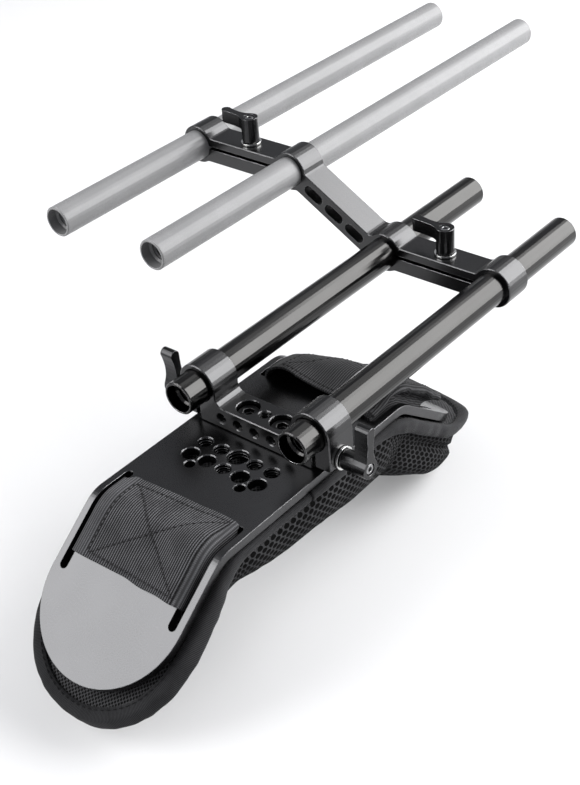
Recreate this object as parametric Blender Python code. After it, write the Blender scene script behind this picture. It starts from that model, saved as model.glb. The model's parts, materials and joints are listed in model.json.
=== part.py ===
"""Shoulder rig for a cinema camera: a padded shoulder plate, a rod clamp, two pairs of 15 mm rods
and a Z-shaped block that carries the upper pair above and to the left of the lower pair.

Origin: centre of the shoulder plate's flat top face. +Y points forward along the rods, +X to the
operator's right, +Z up. Dimensions below are in millimetres; MM turns them into metres.
"""
import math

import bmesh
import bpy
from mathutils import Matrix, Vector

MM = 0.001
GAP = 0.3  # between pieces that touch

# Rods, 15 mm standard, 60 mm between centres
ROD_R = 7.5
ROD_BORE_R = 6.5
ROD_THREAD_R = 5.5  # minor radius of the M12 thread in each end
ROD_MOUTH = 5.0  # depth of the plain mouth before the thread
ROD_THREAD_DEPTH = 18.0
ROD_PITCH = 60.0
ROD_Z = 17.4  # lower rods above the plate's top face
LOWER_RODS = {"lower_left_rod": (-30.0, -9.8, 216.2), "lower_right_rod": (30.0, -9.5, 203.2)}
UPPER_DX = -115.5  # upper pair's centre, to the left of the lower pair's
UPPER_DZ = 28.0  # upper pair above the lower pair
UPPER_RODS = {"upper_left_rod": (-30.0, 35.0, 305.0), "upper_right_rod": (30.0, 36.5, 305.0)}

# Shoulder plate
PLATE_T = 4.0
PLATE_HALF_W = 34.5
PLATE_BEND_Y = 57.65  # corner between the flat and each sloping end
PLATE_SLOPE = math.radians(37.5)
PLATE_END = 67.0  # length of the sloping end from that corner
PLATE_BEND_R = 15.0  # at the top face
SLOT_X = 29.5
SLOT_W = 3.8
SLOT_START_Y = 40.4  # on the flat
SLOT_END = 32.6  # along the slope
HOLE_PITCH = 9.0
HOLE_ROW_Y = -9.0
QUARTER_R = 3.2  # 1/4 inch thread
THREE_EIGHTHS_R = 4.6  # 3/8 inch thread
PLAIN_R = 3.8
PIN_R = 2.25

# Rod clamp on the plate, and the offset block
BLOCK_DEPTH = 15.0  # both blocks, along the rods
CLAMP_Y = 9.0  # middle of the rod clamp
CLAMP_TOP = 10.4
COLLAR_R = 9.75
COLLAR_BORE_R = 7.55
LUG_BOTTOM = 2.2  # the collars' lower lugs stop above the plate
SIDE_AXIS_Z = 5.9  # clamp screw under each collar
SLIT = 1.8
OFFSET_Y = 139.3  # middle of the offset block
BAR_TOP = 4.9  # above the rods' axes
BAR_BOTTOM = -8.0
ARM_SLOPE = math.radians(30.1)
ARM_THICK = 11.4
ARM_SLOT_L = 11.6
ARM_SLOT_W = 5.4
ARM_SLOT_PITCH = 13.8

# Clamping lever, sizes along its own axis from the face it clamps
WASHER_R = 5.1
WASHER_T = 1.0
HANDLE_R = 4.3
HANDLE_H = 12.4
ARM_H = 6.4
ARM_REACH = 16.4
ARM_SIDE = 1.5
ARM_TIP_R = 2.4
ARM_NECK = 0.9
STUD_R = 2.4
STUD_TEETH = 16
STUD_HEAD_H = 2.0
TOP_BORE_R = 2.7
SHOULDER_H = 3.6  # from the handle's underside to its inner shoulder
SHOULDER_T = 1.0
PIN_HOLE_R = 1.6
SCREW_HEAD_R = 2.35
SCREW_HEAD_H = 2.2
SCREW_SHANK_R = 1.2
SPRING_R = 2.0
SPRING_WIRE_R = 0.22
SPRING_TURNS = 4.5

# Pad, a stitched sandwich under the plate. Depths are measured down from the plate's top face
PAD_HALF_W = 36.5
PAD_END = 78.0  # along the slope from the plate's corner
PAD_TOP = PLATE_T + 2.1
PAD_BEND_R = 36.0
PAD_PROFILE = [(-135, 17), (-100, 21.5), (-50, 21.5), (-15, 27), (30, 30), (80, 33), (100, 29), (135, 20)]
PAD_CORNER_R = 11.0  # lower edge
PANEL_T = 1.2
COVER_T = 2.0
BINDING_TOP = PLATE_T + 0.9
BINDING_H = 6.3
BINDING_W = 5.5
BINDING_OUT = 1.3  # how far it stands out past the mesh

# Straps
STRAP_T = 1.4
STRAP_Y = 41.4  # inner edge, on the flat
STRAP_END = 24.3  # outer edge, along the slope

SEGMENTS = 40


def material(name, color, roughness, metallic):
    mat = bpy.data.materials.new(name)
    mat.use_nodes = True
    shader = mat.node_tree.nodes["Principled BSDF"]
    shader.inputs["Base Color"].default_value = (*color, 1.0)
    shader.inputs["Roughness"].default_value = roughness
    shader.inputs["Metallic"].default_value = metallic
    return mat


def new_object(name, bm, mat=None, smooth=True):
    """Object made from a bmesh in millimetres, scaled to metres."""
    bmesh.ops.remove_doubles(bm, verts=bm.verts, dist=1e-4)
    bmesh.ops.scale(bm, vec=(MM, MM, MM), verts=bm.verts)
    bmesh.ops.recalc_face_normals(bm, faces=bm.faces)
    mesh = bpy.data.meshes.new(name)
    bm.to_mesh(mesh)
    bm.free()
    if smooth:
        mesh.shade_smooth()
        mesh.set_sharp_from_angle(angle=math.radians(35))
    obj = bpy.data.objects.new(name, mesh)
    bpy.context.collection.objects.link(obj)
    if mat:
        mesh.materials.append(mat)
    return obj


def boolean(obj, cutter, operation="DIFFERENCE"):
    cutter.hide_render = True
    cutter.display_type = "WIRE"
    mod = obj.modifiers.new(cutter.name, "BOOLEAN")
    mod.operation = operation
    mod.object = cutter


def join_bmesh(target, source):
    """Adds one bmesh to another."""
    temp = bpy.data.meshes.new("temp")
    source.to_mesh(temp)
    source.free()
    target.from_mesh(temp)
    bpy.data.meshes.remove(temp)


def prism(outline, depth_from, depth_to, frame=Matrix()):
    """Closed prism from a 2D outline, along local Z between two depths, placed by a matrix."""
    bm = bmesh.new()
    low = [bm.verts.new(frame @ Vector((x, y, depth_from))) for x, y in outline]
    high = [bm.verts.new(frame @ Vector((x, y, depth_to))) for x, y in outline]
    bm.faces.new(low[::-1])
    bm.faces.new(high)
    count = len(outline)
    for i in range(count):
        j = (i + 1) % count
        bm.faces.new((low[i], low[j], high[j], high[i]))
    return bm


def turned(profile, frame=Matrix(), segments=SEGMENTS):
    """Solid of revolution about local Z from (radius, height) points, closed at the axis or ring."""
    bm = bmesh.new()
    rings = []
    for radius, height in profile:
        if radius < 1e-6:
            rings.append([bm.verts.new(frame @ Vector((0, 0, height)))])
            continue
        ring = []
        for i in range(segments):
            a = 2 * math.pi * i / segments
            point = Vector((radius * math.cos(a), radius * math.sin(a), height))
            ring.append(bm.verts.new(frame @ point))
        rings.append(ring)
    closed = profile[0][0] > 1e-6 and profile[-1][0] > 1e-6
    pairs = list(zip(rings, rings[1:]))
    if closed:
        pairs.append((rings[-1], rings[0]))
    for lower, upper in pairs:
        for i in range(segments):
            j = (i + 1) % segments
            if len(lower) == 1:
                bm.faces.new((lower[0], upper[j], upper[i]))
            elif len(upper) == 1:
                bm.faces.new((lower[i], lower[j], upper[0]))
            else:
                bm.faces.new((lower[i], lower[j], upper[j], upper[i]))
    return bm


def cylinder(radius, low, high, frame=Matrix(), segments=SEGMENTS):
    return turned([(0, low), (radius, low), (radius, high), (0, high)], frame, segments)


def box(low, high):
    bm = bmesh.new()
    bmesh.ops.create_cube(bm, size=1.0)
    size = Vector(high) - Vector(low)
    centre = (Vector(high) + Vector(low)) / 2
    bmesh.ops.transform(bm, matrix=Matrix.Translation(centre) @ Matrix.Diagonal((*size, 1)), verts=bm.verts)
    return bm


def arc(cx, cy, radius, start, end, steps):
    """Points on an arc, angles in degrees, both ends included."""
    points = []
    for i in range(steps + 1):
        a = math.radians(start + (end - start) * i / steps)
        points.append((cx + radius * math.cos(a), cy + radius * math.sin(a)))
    return points


def axis_frame(origin, axis, up=(0, 0, 1)):
    """Matrix whose local Z is the axis and whose local Y is close to up."""
    z = Vector(axis).normalized()
    x = Vector(up).cross(z).normalized()
    y = z.cross(x)
    frame = Matrix.Identity(4)
    for row in range(3):
        frame[row][0] = x[row]
        frame[row][1] = y[row]
        frame[row][2] = z[row]
        frame[row][3] = origin[row]
    return frame


def along_y(x, y, z):
    """Frame at a point whose local Z is +Y, local X is +X and local Y is -Z."""
    return Matrix.Translation((x, y, z)) @ Matrix.Rotation(math.radians(-90), 4, "X")


def place(obj, origin):
    """Moves the object's origin to a point in millimetres and leaves its shape where it is."""
    point = Vector(origin) * MM
    obj.data.transform(Matrix.Translation(-point))
    obj.location = point
    return obj


# ---------------------------------------------------------------- shoulder plate and pad path

def plate_path(distance, depth, bend_r, corner, slope=PLATE_SLOPE):
    """(y, z) at a signed distance from the centre along a bent sheet, at a depth below its top.

    The sheet is flat, then turns down by the slope on a radius of bend_r at its top."""
    side = 1 if distance >= 0 else -1
    run = abs(distance)
    tangent = bend_r * math.tan(slope / 2)
    flat = corner - tangent
    bend = bend_r * slope
    if run <= flat:
        return side * run, -depth
    if run <= flat + bend:
        a = (run - flat) / bend_r
        r = bend_r - depth
        return side * (flat + r * math.sin(a)), r * math.cos(a) - bend_r
    rest = run - flat - bend
    r = bend_r - depth
    y = flat + r * math.sin(slope) + rest * math.cos(slope)
    z = r * math.cos(slope) - bend_r - rest * math.sin(slope)
    return side * y, z


def path_distance(along_slope, bend_r, corner):
    """Distance from the centre to a place given along the slope from the sharp corner."""
    tangent = bend_r * math.tan(PLATE_SLOPE / 2)
    return corner - tangent + bend_r * PLATE_SLOPE + along_slope - tangent


def plate_point(x, distance, depth):
    y, z = plate_path(distance, depth, PLATE_BEND_R, PLATE_BEND_Y)
    return Vector((x, y, z))


PLATE_REACH = path_distance(PLATE_END, PLATE_BEND_R, PLATE_BEND_Y)


def bend_stations(start, end, steps):
    """Distances along the plate where a bent piece needs an edge, between two signed distances."""
    tangent = PLATE_BEND_R * math.tan(PLATE_SLOPE / 2)
    first = PLATE_BEND_Y - tangent
    bend = PLATE_BEND_R * PLATE_SLOPE
    marks = [side * (first + bend * i / steps) for side in (-1, 1) for i in range(steps + 1)]
    inner = [m for m in marks if start + 0.5 < m < end - 0.5]
    return sorted({start, end, *inner})


def bent_strip(stations, half_widths, depths, offset_x=0.0):
    """Closed solid: at each station a rectangle from -half to +half and between two depths."""
    bm = bmesh.new()
    rings = []
    for distance, half in zip(stations, half_widths):
        ring = []
        for x, depth in ((-half, depths[0]), (half, depths[0]), (half, depths[1]), (-half, depths[1])):
            ring.append(bm.verts.new(plate_point(offset_x + x, distance, depth)))
        rings.append(ring)
    for a, b in zip(rings, rings[1:]):
        for i in range(4):
            j = (i + 1) % 4
            bm.faces.new((a[i], a[j], b[j], b[i]))
    bm.faces.new(rings[0])
    bm.faces.new(rings[-1][::-1])
    return bm


def plate_half_width(distance):
    centre = PLATE_REACH - PLATE_HALF_W
    beyond = abs(distance) - centre
    if beyond <= 0:
        return PLATE_HALF_W
    return math.sqrt(max(PLATE_HALF_W ** 2 - beyond ** 2, 0.0))


def plate_blank():
    """Bent plate with round ends."""
    centre = PLATE_REACH - PLATE_HALF_W
    round_steps = 20
    ends = [centre + PLATE_HALF_W * math.sin(math.pi / 2 * i / round_steps) for i in range(round_steps)]
    ends.append(PLATE_REACH - 0.02)
    inner = bend_stations(-centre, centre, 8)
    clear_of_clamp = CLAMP_Y - BLOCK_DEPTH / 2 - GAP
    stations = sorted({*[-e for e in ends], *inner, clear_of_clamp, *ends})
    halves = [plate_half_width(s) for s in stations]
    return bent_strip(stations, halves, (0.0, PLATE_T))


def slot_cutter(side_x, side_y):
    """Round-ended strap slot near one edge, following the bend."""
    start = SLOT_START_Y
    end = path_distance(SLOT_END, PLATE_BEND_R, PLATE_BEND_Y)
    radius = SLOT_W / 2
    stations = []
    halves = []
    for i in range(5):
        a = math.pi / 2 * i / 5
        stations.append(start + radius - radius * math.cos(a))
        halves.append(max(radius * math.sin(a), 0.05))
    middle = [m for m in bend_stations(start + radius, end - radius, 8)]
    stations += middle
    halves += [radius] * len(middle)
    for i in range(4, -1, -1):
        a = math.pi / 2 * i / 5
        stations.append(end - radius + radius * math.cos(a))
        halves.append(max(radius * math.sin(a), 0.05))
    stations = [side_y * s for s in stations]
    if side_y < 0:
        stations.reverse()
        halves.reverse()
    return bent_strip(stations, halves, (-2.0, PLATE_T + 2.0), side_x * SLOT_X)


def hole_cutter(radius, low, high, frame, segments=16):
    """Round hole with a chamfered mouth at the high end; threads are left at their core radius."""
    chamfer = 0.4
    profile = [(0, low), (radius, low), (radius, high - chamfer), (radius + chamfer, high),
               (radius + chamfer, high + 1.0), (0, high + 1.0)]
    return turned(profile, frame, segments)


def plate_holes():
    """(x, y, radius) of each hole in the plate."""
    holes = []
    for step in (-2, -1, 1, 2):
        holes.append((step * HOLE_PITCH, HOLE_ROW_Y, QUARTER_R))
        holes.append((step * HOLE_PITCH, HOLE_ROW_Y - HOLE_PITCH, PLAIN_R))
    holes.append((0.0, HOLE_ROW_Y, THREE_EIGHTHS_R))
    holes.append((0.0, HOLE_ROW_Y - HOLE_PITCH, QUARTER_R))
    for side in (-1, 1):
        holes.append((side * 1.5 * HOLE_PITCH, HOLE_ROW_Y - 1.6 * HOLE_PITCH, PIN_R))
        holes.append((side * HOLE_PITCH, CLAMP_Y, QUARTER_R))
    return holes


def shoulder_plate(mat):
    obj = new_object("shoulder_plate", plate_blank(), mat)
    weight_rim_edges(obj)
    bevel = obj.modifiers.new("edge_break", "BEVEL")
    bevel.width = 0.4 * MM
    bevel.segments = 1
    bevel.limit_method = "WEIGHT"
    cutters = bmesh.new()
    for side_x in (-1, 1):
        for side_y in (-1, 1):
            join_bmesh(cutters, slot_cutter(side_x, side_y))
    for x, y, radius in plate_holes():
        join_bmesh(cutters, hole_cutter(radius, -PLATE_T - 1, 0, Matrix.Translation((x, y, 0))))
    boolean(obj, new_object("plate_cutters", cutters))


def weight_rim_edges(obj):
    """Bevel weights on the long outer edges of the plate blank."""
    mesh = obj.data
    weights = mesh.attributes.new("bevel_weight_edge", "FLOAT", "EDGE")
    normals = [polygon.normal.copy() for polygon in mesh.polygons]
    faces_of = {}
    for polygon in mesh.polygons:
        for key in polygon.edge_keys:
            faces_of.setdefault(key, []).append(polygon.index)
    for edge in mesh.edges:
        pair = faces_of[tuple(sorted(edge.vertices))]
        angle = normals[pair[0]].angle(normals[pair[1]])
        weights.data[edge.index].value = 1.0 if angle > math.radians(60) else 0.0


# ---------------------------------------------------------------- outlines of the two clamp blocks

def turn(start, end, clockwise):
    """End angle moved by whole turns so that the arc runs the stated way."""
    while clockwise and end > start:
        end -= 360
    while not clockwise and end < start:
        end += 360
    return end


def angle_of(vector):
    return math.degrees(math.atan2(vector.y, vector.x))


def fillet_centre(centre, normal, offset, along, radius):
    """Centre of the concave fillet between a collar and a face.

    The face is the line normal . p = offset; the fillet lies on the side that along points to."""
    normal = Vector(normal).normalized()
    lift = offset + radius - normal.dot(centre)
    run = math.sqrt((COLLAR_R + radius) ** 2 - lift ** 2)
    tangent = Vector((-normal.y, normal.x))
    if tangent.dot(Vector(along)) < 0:
        tangent = -tangent
    return centre + normal * lift + tangent * run


def fillet_arc(centre, collar, normal, radius, leaving):
    """The fillet's points, from the collar to the face when leaving, else from face to collar."""
    to_collar = angle_of(collar - centre)
    to_face = angle_of(-Vector(normal))
    first, last = (to_collar, to_face) if leaving else (to_face, to_collar)
    last = turn(first, last, clockwise=True)
    steps = max(2, int((first - last) / 14))
    return arc(centre.x, centre.y, radius, first, last, steps)


def collar_arc(centre, start, end):
    end = turn(start, end, clockwise=False)
    return arc(centre.x, centre.y, COLLAR_R, start, end, max(3, int((end - start) / 10)))


def chain(steps):
    """Outline through collars and the faces between them, counter-clockwise.

    Each step is (collar, faces in, faces out) with a face as (normal, offset, along, radius)."""
    points = []
    for collar, face_in, face_out in steps:
        f_in = fillet_centre(collar, *face_in)
        f_out = fillet_centre(collar, *face_out)
        points += fillet_arc(f_in, collar, face_in[0], face_in[3], leaving=False)
        points += collar_arc(collar, angle_of(f_in - collar), angle_of(f_out - collar))[1:-1]
        points += fillet_arc(f_out, collar, face_out[0], face_out[3], leaving=True)
    return points


def end_bevel(obj, width=0.35):
    """Breaks the rims of the two end faces of a block extruded along Y."""
    mesh = obj.data
    lows = [v.co.y for v in mesh.vertices]
    ends = (min(lows), max(lows))
    weights = mesh.attributes.new("bevel_weight_edge", "FLOAT", "EDGE")
    for edge in mesh.edges:
        a, b = (mesh.vertices[i].co.y for i in edge.vertices)
        on_end = abs(a - b) < 1e-6 and min(abs(a - e) for e in ends) < 1e-6
        weights.data[edge.index].value = 1.0 if on_end else 0.0
    bevel = obj.modifiers.new("edge_break", "BEVEL")
    bevel.width = width * MM
    bevel.segments = 1
    bevel.limit_method = "WEIGHT"


def block_frame(y):
    """Outline x, z to space: local Z runs along -Y, so that local Y can be up."""
    return Matrix.Translation((0, y, 0)) @ Matrix.Rotation(math.radians(90), 4, "X")


def rod_clamp(mat):
    """Block on the plate with a collar for each lower rod, split below the rod."""
    up, left = (0, 1), (-1, 0)
    fillet_r = 4.0
    right = Vector((ROD_PITCH / 2, ROD_Z))
    f = fillet_centre(right, up, CLAMP_TOP, left, fillet_r)
    slit_in = right.x + 0.1
    slit_out = slit_in + SLIT
    bore_start = -math.degrees(math.acos(0.1 / COLLAR_BORE_R))
    bore_end = -math.degrees(math.acos((slit_out - right.x) / COLLAR_BORE_R)) - 360
    outer = right.x + COLLAR_R
    half = [(slit_in, GAP)]
    half += arc(right.x, right.y, COLLAR_BORE_R, bore_start, bore_end, 32)
    half += [(slit_out, LUG_BOTTOM), (outer - 1.0, LUG_BOTTOM), (outer, LUG_BOTTOM + 1.0)]
    half += collar_arc(right, 0, angle_of(f - right))[:-1]
    half += fillet_arc(f, right, up, fillet_r, leaving=True)
    outline = half + [(-x, z) for x, z in reversed(half)]
    bm = prism(outline, -BLOCK_DEPTH / 2, BLOCK_DEPTH / 2, block_frame(CLAMP_Y))
    obj = new_object("rod_clamp", bm, mat)
    end_bevel(obj)
    cutters = bmesh.new()
    for side in (-1, 1):
        frame = Matrix.Translation((side * HOLE_PITCH, CLAMP_Y, 0))
        profile = [(0, -1), (3.4, -1), (3.4, 3.9), (5.0, 3.9), (5.0, CLAMP_TOP - 0.3),
                   (5.3, CLAMP_TOP), (5.3, CLAMP_TOP + 1), (0, CLAMP_TOP + 1)]
        join_bmesh(cutters, turned(profile, frame, 24))
        screw = axis_frame((side * (outer + 1), CLAMP_Y, SIDE_AXIS_Z), (-side, 0, 0))
        join_bmesh(cutters, cylinder(STUD_R + GAP, -1, outer - 19.5, screw, 20))
    centre_hole = Matrix.Translation((0, CLAMP_Y, 0))
    join_bmesh(cutters, hole_cutter(2.5, -1, CLAMP_TOP, centre_hole))
    front = CLAMP_Y - BLOCK_DEPTH / 2
    for step in (-2, -1, 0, 1, 2):
        frame = axis_frame((step * HOLE_PITCH, front + 3.6, SIDE_AXIS_Z - 0.6), (0, -1, 0))
        join_bmesh(cutters, hole_cutter(2.3, 0, 3.6, frame, 16))
    boolean(obj, new_object("clamp_cutters", cutters))


def obround(length, width, cx, cz, tilt):
    """Slot outline with round ends, its long side turned by an angle."""
    radius = width / 2
    straight = length / 2 - radius
    points = arc(straight, 0, radius, -90, 90, 8) + arc(-straight, 0, radius, 90, 270, 8)
    cos, sin = math.cos(tilt), math.sin(tilt)
    return [(cx + x * cos - z * sin, cz + x * sin + z * cos) for x, z in points]


def offset_rod_block(mat):
    """Z-shaped block: split bars between each pair of collars, joined by an inclined arm."""
    a, b = (Vector((x, ROD_Z)) for x in (-ROD_PITCH / 2, ROD_PITCH / 2))
    lift = Vector((UPPER_DX, UPPER_DZ))
    c, d = a + lift, b + lift
    up, down, left, right = (0, 1), (0, -1), (-1, 0), (1, 0)
    middle = Vector((-59.15, ROD_Z + 12.3))
    normal = Vector((math.sin(ARM_SLOPE), math.cos(ARM_SLOPE)))
    arm_top = (normal, normal.dot(middle) + ARM_THICK / 2)
    arm_low = (-normal, -normal.dot(middle) + ARM_THICK / 2)
    fil = 3.0

    def bar_top(z, along):
        return up, z + BAR_TOP, along, fil

    def bar_low(z, along):
        return down, -(z + BAR_BOTTOM), along, fil

    outline = chain([
        (d, bar_low(d.y, left), (*arm_low, right, 1.5)),
        (a, (*arm_low, left, 1.5), bar_low(a.y, right)),
        (b, bar_low(b.y, left), bar_top(b.y, left)),
        (a, bar_top(a.y, right), (*arm_top, left, 4.0)),
        (d, (*arm_top, right, 1.5), bar_top(d.y, left)),
        (c, bar_top(c.y, right), bar_low(c.y, right)),
    ])
    bm = prism(outline, -BLOCK_DEPTH / 2, BLOCK_DEPTH / 2, block_frame(OFFSET_Y))
    obj = new_object("offset_rod_block", bm, mat)
    place(obj, (0, OFFSET_Y, ROD_Z))
    end_bevel(obj)
    cutters = bmesh.new()
    reach = BLOCK_DEPTH / 2 + 1
    for low, high in ((a, b), (c, d)):
        for rod in (low, high):
            frame = block_frame(OFFSET_Y) @ Matrix.Translation((rod.x, rod.y, 0))
            join_bmesh(cutters, cylinder(COLLAR_BORE_R, -reach, reach, frame, 32))
    for step in (-1, 0, 1):
        cx = middle.x + step * ARM_SLOT_PITCH * math.cos(ARM_SLOPE)
        cz = middle.y - step * ARM_SLOT_PITCH * math.sin(ARM_SLOPE)
        points = obround(ARM_SLOT_L, ARM_SLOT_W, cx, cz, -ARM_SLOPE)
        join_bmesh(cutters, prism(points, -reach, reach, block_frame(OFFSET_Y)))
    boolean(obj, new_object("block_bores", cutters))
    slits = bmesh.new()
    for low, high in ((a, b), (c, d)):
        y0, y1 = OFFSET_Y - reach, OFFSET_Y + reach
        join_bmesh(slits, box((low.x + 2, y0, low.y - SLIT / 2), (high.x - 2, y1, low.y + SLIT / 2)))
    boolean(obj, new_object("block_slits", slits))
    holes = bmesh.new()
    for low, high in ((a, b), (c, d)):
        frame = Matrix.Translation(((low.x + high.x) / 2, OFFSET_Y, low.y))
        join_bmesh(holes, cylinder(STUD_R + GAP, BAR_BOTTOM - 1, BAR_TOP + 1, frame, 20))
    boolean(obj, new_object("block_screw_holes", holes))
    return obj


def clamp_bolt(name, side, mat):
    """Low head cap screw from the rod clamp down into the plate."""
    low = -PLATE_T + 0.4
    head_low, head_top = 4.2, 8.2
    socket_r, socket_depth = 2.6, 2.2
    bm = turned([(0, low), (2.6, low), (3.0, low + 0.4), (3.0, head_low), (4.6, head_low),
                 (4.6, head_top - 0.3), (4.3, head_top), (0, head_top)],
                Matrix.Translation((side * HOLE_PITCH, CLAMP_Y, 0)), 20)
    obj = new_object(name, bm, mat)
    frame = Matrix.Translation((side * HOLE_PITCH, CLAMP_Y, 0))
    socket = cylinder(socket_r, head_top - socket_depth, head_top + 1, frame, 6)
    boolean(obj, new_object(name + "_socket", socket))


def rod(name, x, y, z, length, mat):
    """Tube with a chamfered lip and a stepped thread core at both ends."""
    lip = 0.4
    end = ROD_THREAD_DEPTH
    mouth = 6.4
    profile = [(ROD_R - lip, 0), (ROD_R, lip), (ROD_R, length - lip), (ROD_R - lip, length),
               (mouth, length), (mouth, length - ROD_MOUTH), (ROD_THREAD_R, length - ROD_MOUTH - 0.8),
               (ROD_THREAD_R, length - end), (ROD_BORE_R, length - end - 0.6), (ROD_BORE_R, end + 0.6),
               (ROD_THREAD_R, end), (ROD_THREAD_R, ROD_MOUTH + 0.8), (mouth, ROD_MOUTH), (mouth, 0)]
    obj = new_object(name, turned(profile, along_y(x, y, z), 32), mat)
    return place(obj, (x, y, z))


# ---------------------------------------------------------------- clamping levers

def handle_outline():
    """Arm of the handle seen along its axis: boss, waisted arm and round tip, the arm along +Y."""
    tip = Vector((ARM_SIDE, ARM_REACH))
    right = bezier((HANDLE_R * 0.83, HANDLE_R * 0.56), (ARM_NECK, 7.0), (tip.x + ARM_TIP_R, tip.y), 7)
    left = bezier((tip.x - ARM_TIP_R, tip.y), (-ARM_NECK, 5.2), (-HANDLE_R * 0.7, HANDLE_R * 0.714), 7)
    boss = arc(0, 0, HANDLE_R, 134.4, 394, 20)
    return boss[1:-1] + right + arc(tip.x, tip.y, ARM_TIP_R, 0, 180, 8)[1:-1] + left


def bezier(start, control, end, steps):
    points = []
    for i in range(steps + 1):
        t = i / steps
        w = ((1 - t) ** 2, 2 * t * (1 - t), t * t)
        points.append(tuple(w[0] * start[k] + w[1] * control[k] + w[2] * end[k] for k in (0, 1)))
    return points


def toothed(outer, inner):
    """Serrated outline shared by the stud's head and the bore of the handle."""
    points = []
    for i in range(STUD_TEETH):
        a = 2 * math.pi * i / STUD_TEETH
        b = a + math.pi / STUD_TEETH
        points.append((outer * math.cos(a), outer * math.sin(a)))
        points.append((inner * math.cos(b), inner * math.sin(b)))
    return points


def lever(name, origin, axis, up, shank, mats):
    """Washer, threaded stud, handle, return spring and retaining screw on one axis.

    The origin lies on the clamped face and shank is how far the stud reaches below it."""
    frame = axis_frame(origin, axis, up)
    base = GAP + WASHER_T + GAP
    top = base + HANDLE_H
    ring = [(STUD_R + GAP, GAP), (WASHER_R, GAP), (WASHER_R, GAP + WASHER_T), (STUD_R + GAP, GAP + WASHER_T)]
    new_object(name + "_washer", turned(ring, frame, 24), mats["steel"])

    head = prism(toothed(2.95, 2.6), base + GAP, base + GAP + STUD_HEAD_H, frame)
    stud = new_object(name + "_stud", head, mats["steel"], smooth=False)
    shank_bm = turned([(0, 0.6 - shank), (STUD_R - 0.5, 0.6 - shank), (STUD_R, 1.1 - shank),
                       (STUD_R, base + GAP + 0.5), (0, base + GAP + 0.5)], frame, 16)
    boolean(stud, new_object(name + "_shank", shank_bm), "UNION")
    tapped = cylinder(PIN_HOLE_R, base - 4, base + 4, frame, 12)
    boolean(stud, new_object(name + "_tapped_hole", tapped))
    place(stud, origin)

    arm = prism(handle_outline(), top - ARM_H, top, frame)
    handle = new_object(name + "_handle", arm, mats["lever"])
    boss = turned([(0, base), (HANDLE_R - 0.3, base), (HANDLE_R, base + 0.3),
                   (HANDLE_R, top - ARM_H + 0.4), (0, top - ARM_H + 0.4)], frame, 24)
    boolean(handle, new_object(name + "_boss", boss), "UNION")
    bores = prism(toothed(3.25, 2.9), base - 1, base + SHOULDER_H, frame)
    boolean(handle, new_object(name + "_bore", bores))
    bore_top = base + SHOULDER_H + SHOULDER_T
    upper = turned([(0, base), (PIN_HOLE_R, base), (PIN_HOLE_R, bore_top), (TOP_BORE_R, bore_top),
                    (TOP_BORE_R, top + 1), (0, top + 1)], frame, 16)
    boolean(handle, new_object(name + "_upper_bore", upper))
    place(handle, origin)

    head_top = top - 0.3
    head_low = head_top - SCREW_HEAD_H
    screw_bm = turned([(0, base - 3), (SCREW_SHANK_R, base - 3), (SCREW_SHANK_R, head_low),
                       (SCREW_HEAD_R, head_low), (SCREW_HEAD_R, head_top - 0.3),
                       (SCREW_HEAD_R - 0.3, head_top), (0, head_top)], frame, 16)
    screw = new_object(name + "_retaining_screw", screw_bm, mats["steel"])
    socket = cylinder(1.25, head_top - 1.4, head_top + 1, frame, 6)
    boolean(screw, new_object(name + "_socket", socket))
    place(screw, origin)

    spring = coil(bore_top + SPRING_WIRE_R + 0.1, head_low - SPRING_WIRE_R - 0.1, frame)
    place(new_object(name + "_spring", spring, mats["steel"]), origin)


def coil(low, high, frame):
    """Helical spring as a swept square wire with closed ends."""
    bm = bmesh.new()
    rings = []
    steps = int(SPRING_TURNS * 9)
    for i in range(steps + 1):
        a = 2 * math.pi * SPRING_TURNS * i / steps
        height = low + (high - low) * i / steps
        ring = []
        for k in range(4):
            b = math.pi / 2 * k
            r = SPRING_R + SPRING_WIRE_R * math.cos(b)
            point = Vector((r * math.cos(a), r * math.sin(a), height + SPRING_WIRE_R * math.sin(b)))
            ring.append(bm.verts.new(frame @ point))
        rings.append(ring)
    for first, second in zip(rings, rings[1:]):
        for k in range(4):
            j = (k + 1) % 4
            bm.faces.new((first[k], first[j], second[j], second[k]))
    bm.faces.new(rings[0][::-1])
    bm.faces.new(rings[-1])
    return bm


# ---------------------------------------------------------------- pad and straps

PAD_REACH = path_distance(PAD_END, PAD_BEND_R, PLATE_BEND_Y)


def smoothstep(low, high, value):
    t = min(max((value - low) / (high - low), 0.0), 1.0)
    return t * t * (3 - 2 * t)


def pad_bottom(distance):
    """Depth of the pad's underside at a signed distance from the centre."""
    for (d0, depth0), (d1, depth1) in zip(PAD_PROFILE, PAD_PROFILE[1:]):
        if distance <= d1:
            return depth0 + (depth1 - depth0) * smoothstep(d0, d1, distance)
    return PAD_PROFILE[-1][1]


def pad_stations(reach, half_w):
    centre = reach - half_w
    ends = [centre + half_w * math.sin(math.pi / 2 * i / 10) for i in range(10)]
    ends.append(reach - 0.15)
    tangent = PAD_BEND_R * math.tan(PLATE_SLOPE / 2)
    first = PLATE_BEND_Y - tangent
    bend = PAD_BEND_R * PLATE_SLOPE
    bends = [first + bend * i / 5 for i in range(6)]
    half = sorted({0.0, *[b for b in bends if b < centre - 1], *ends})
    return [-s for s in reversed(half)] + half[1:]


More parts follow.
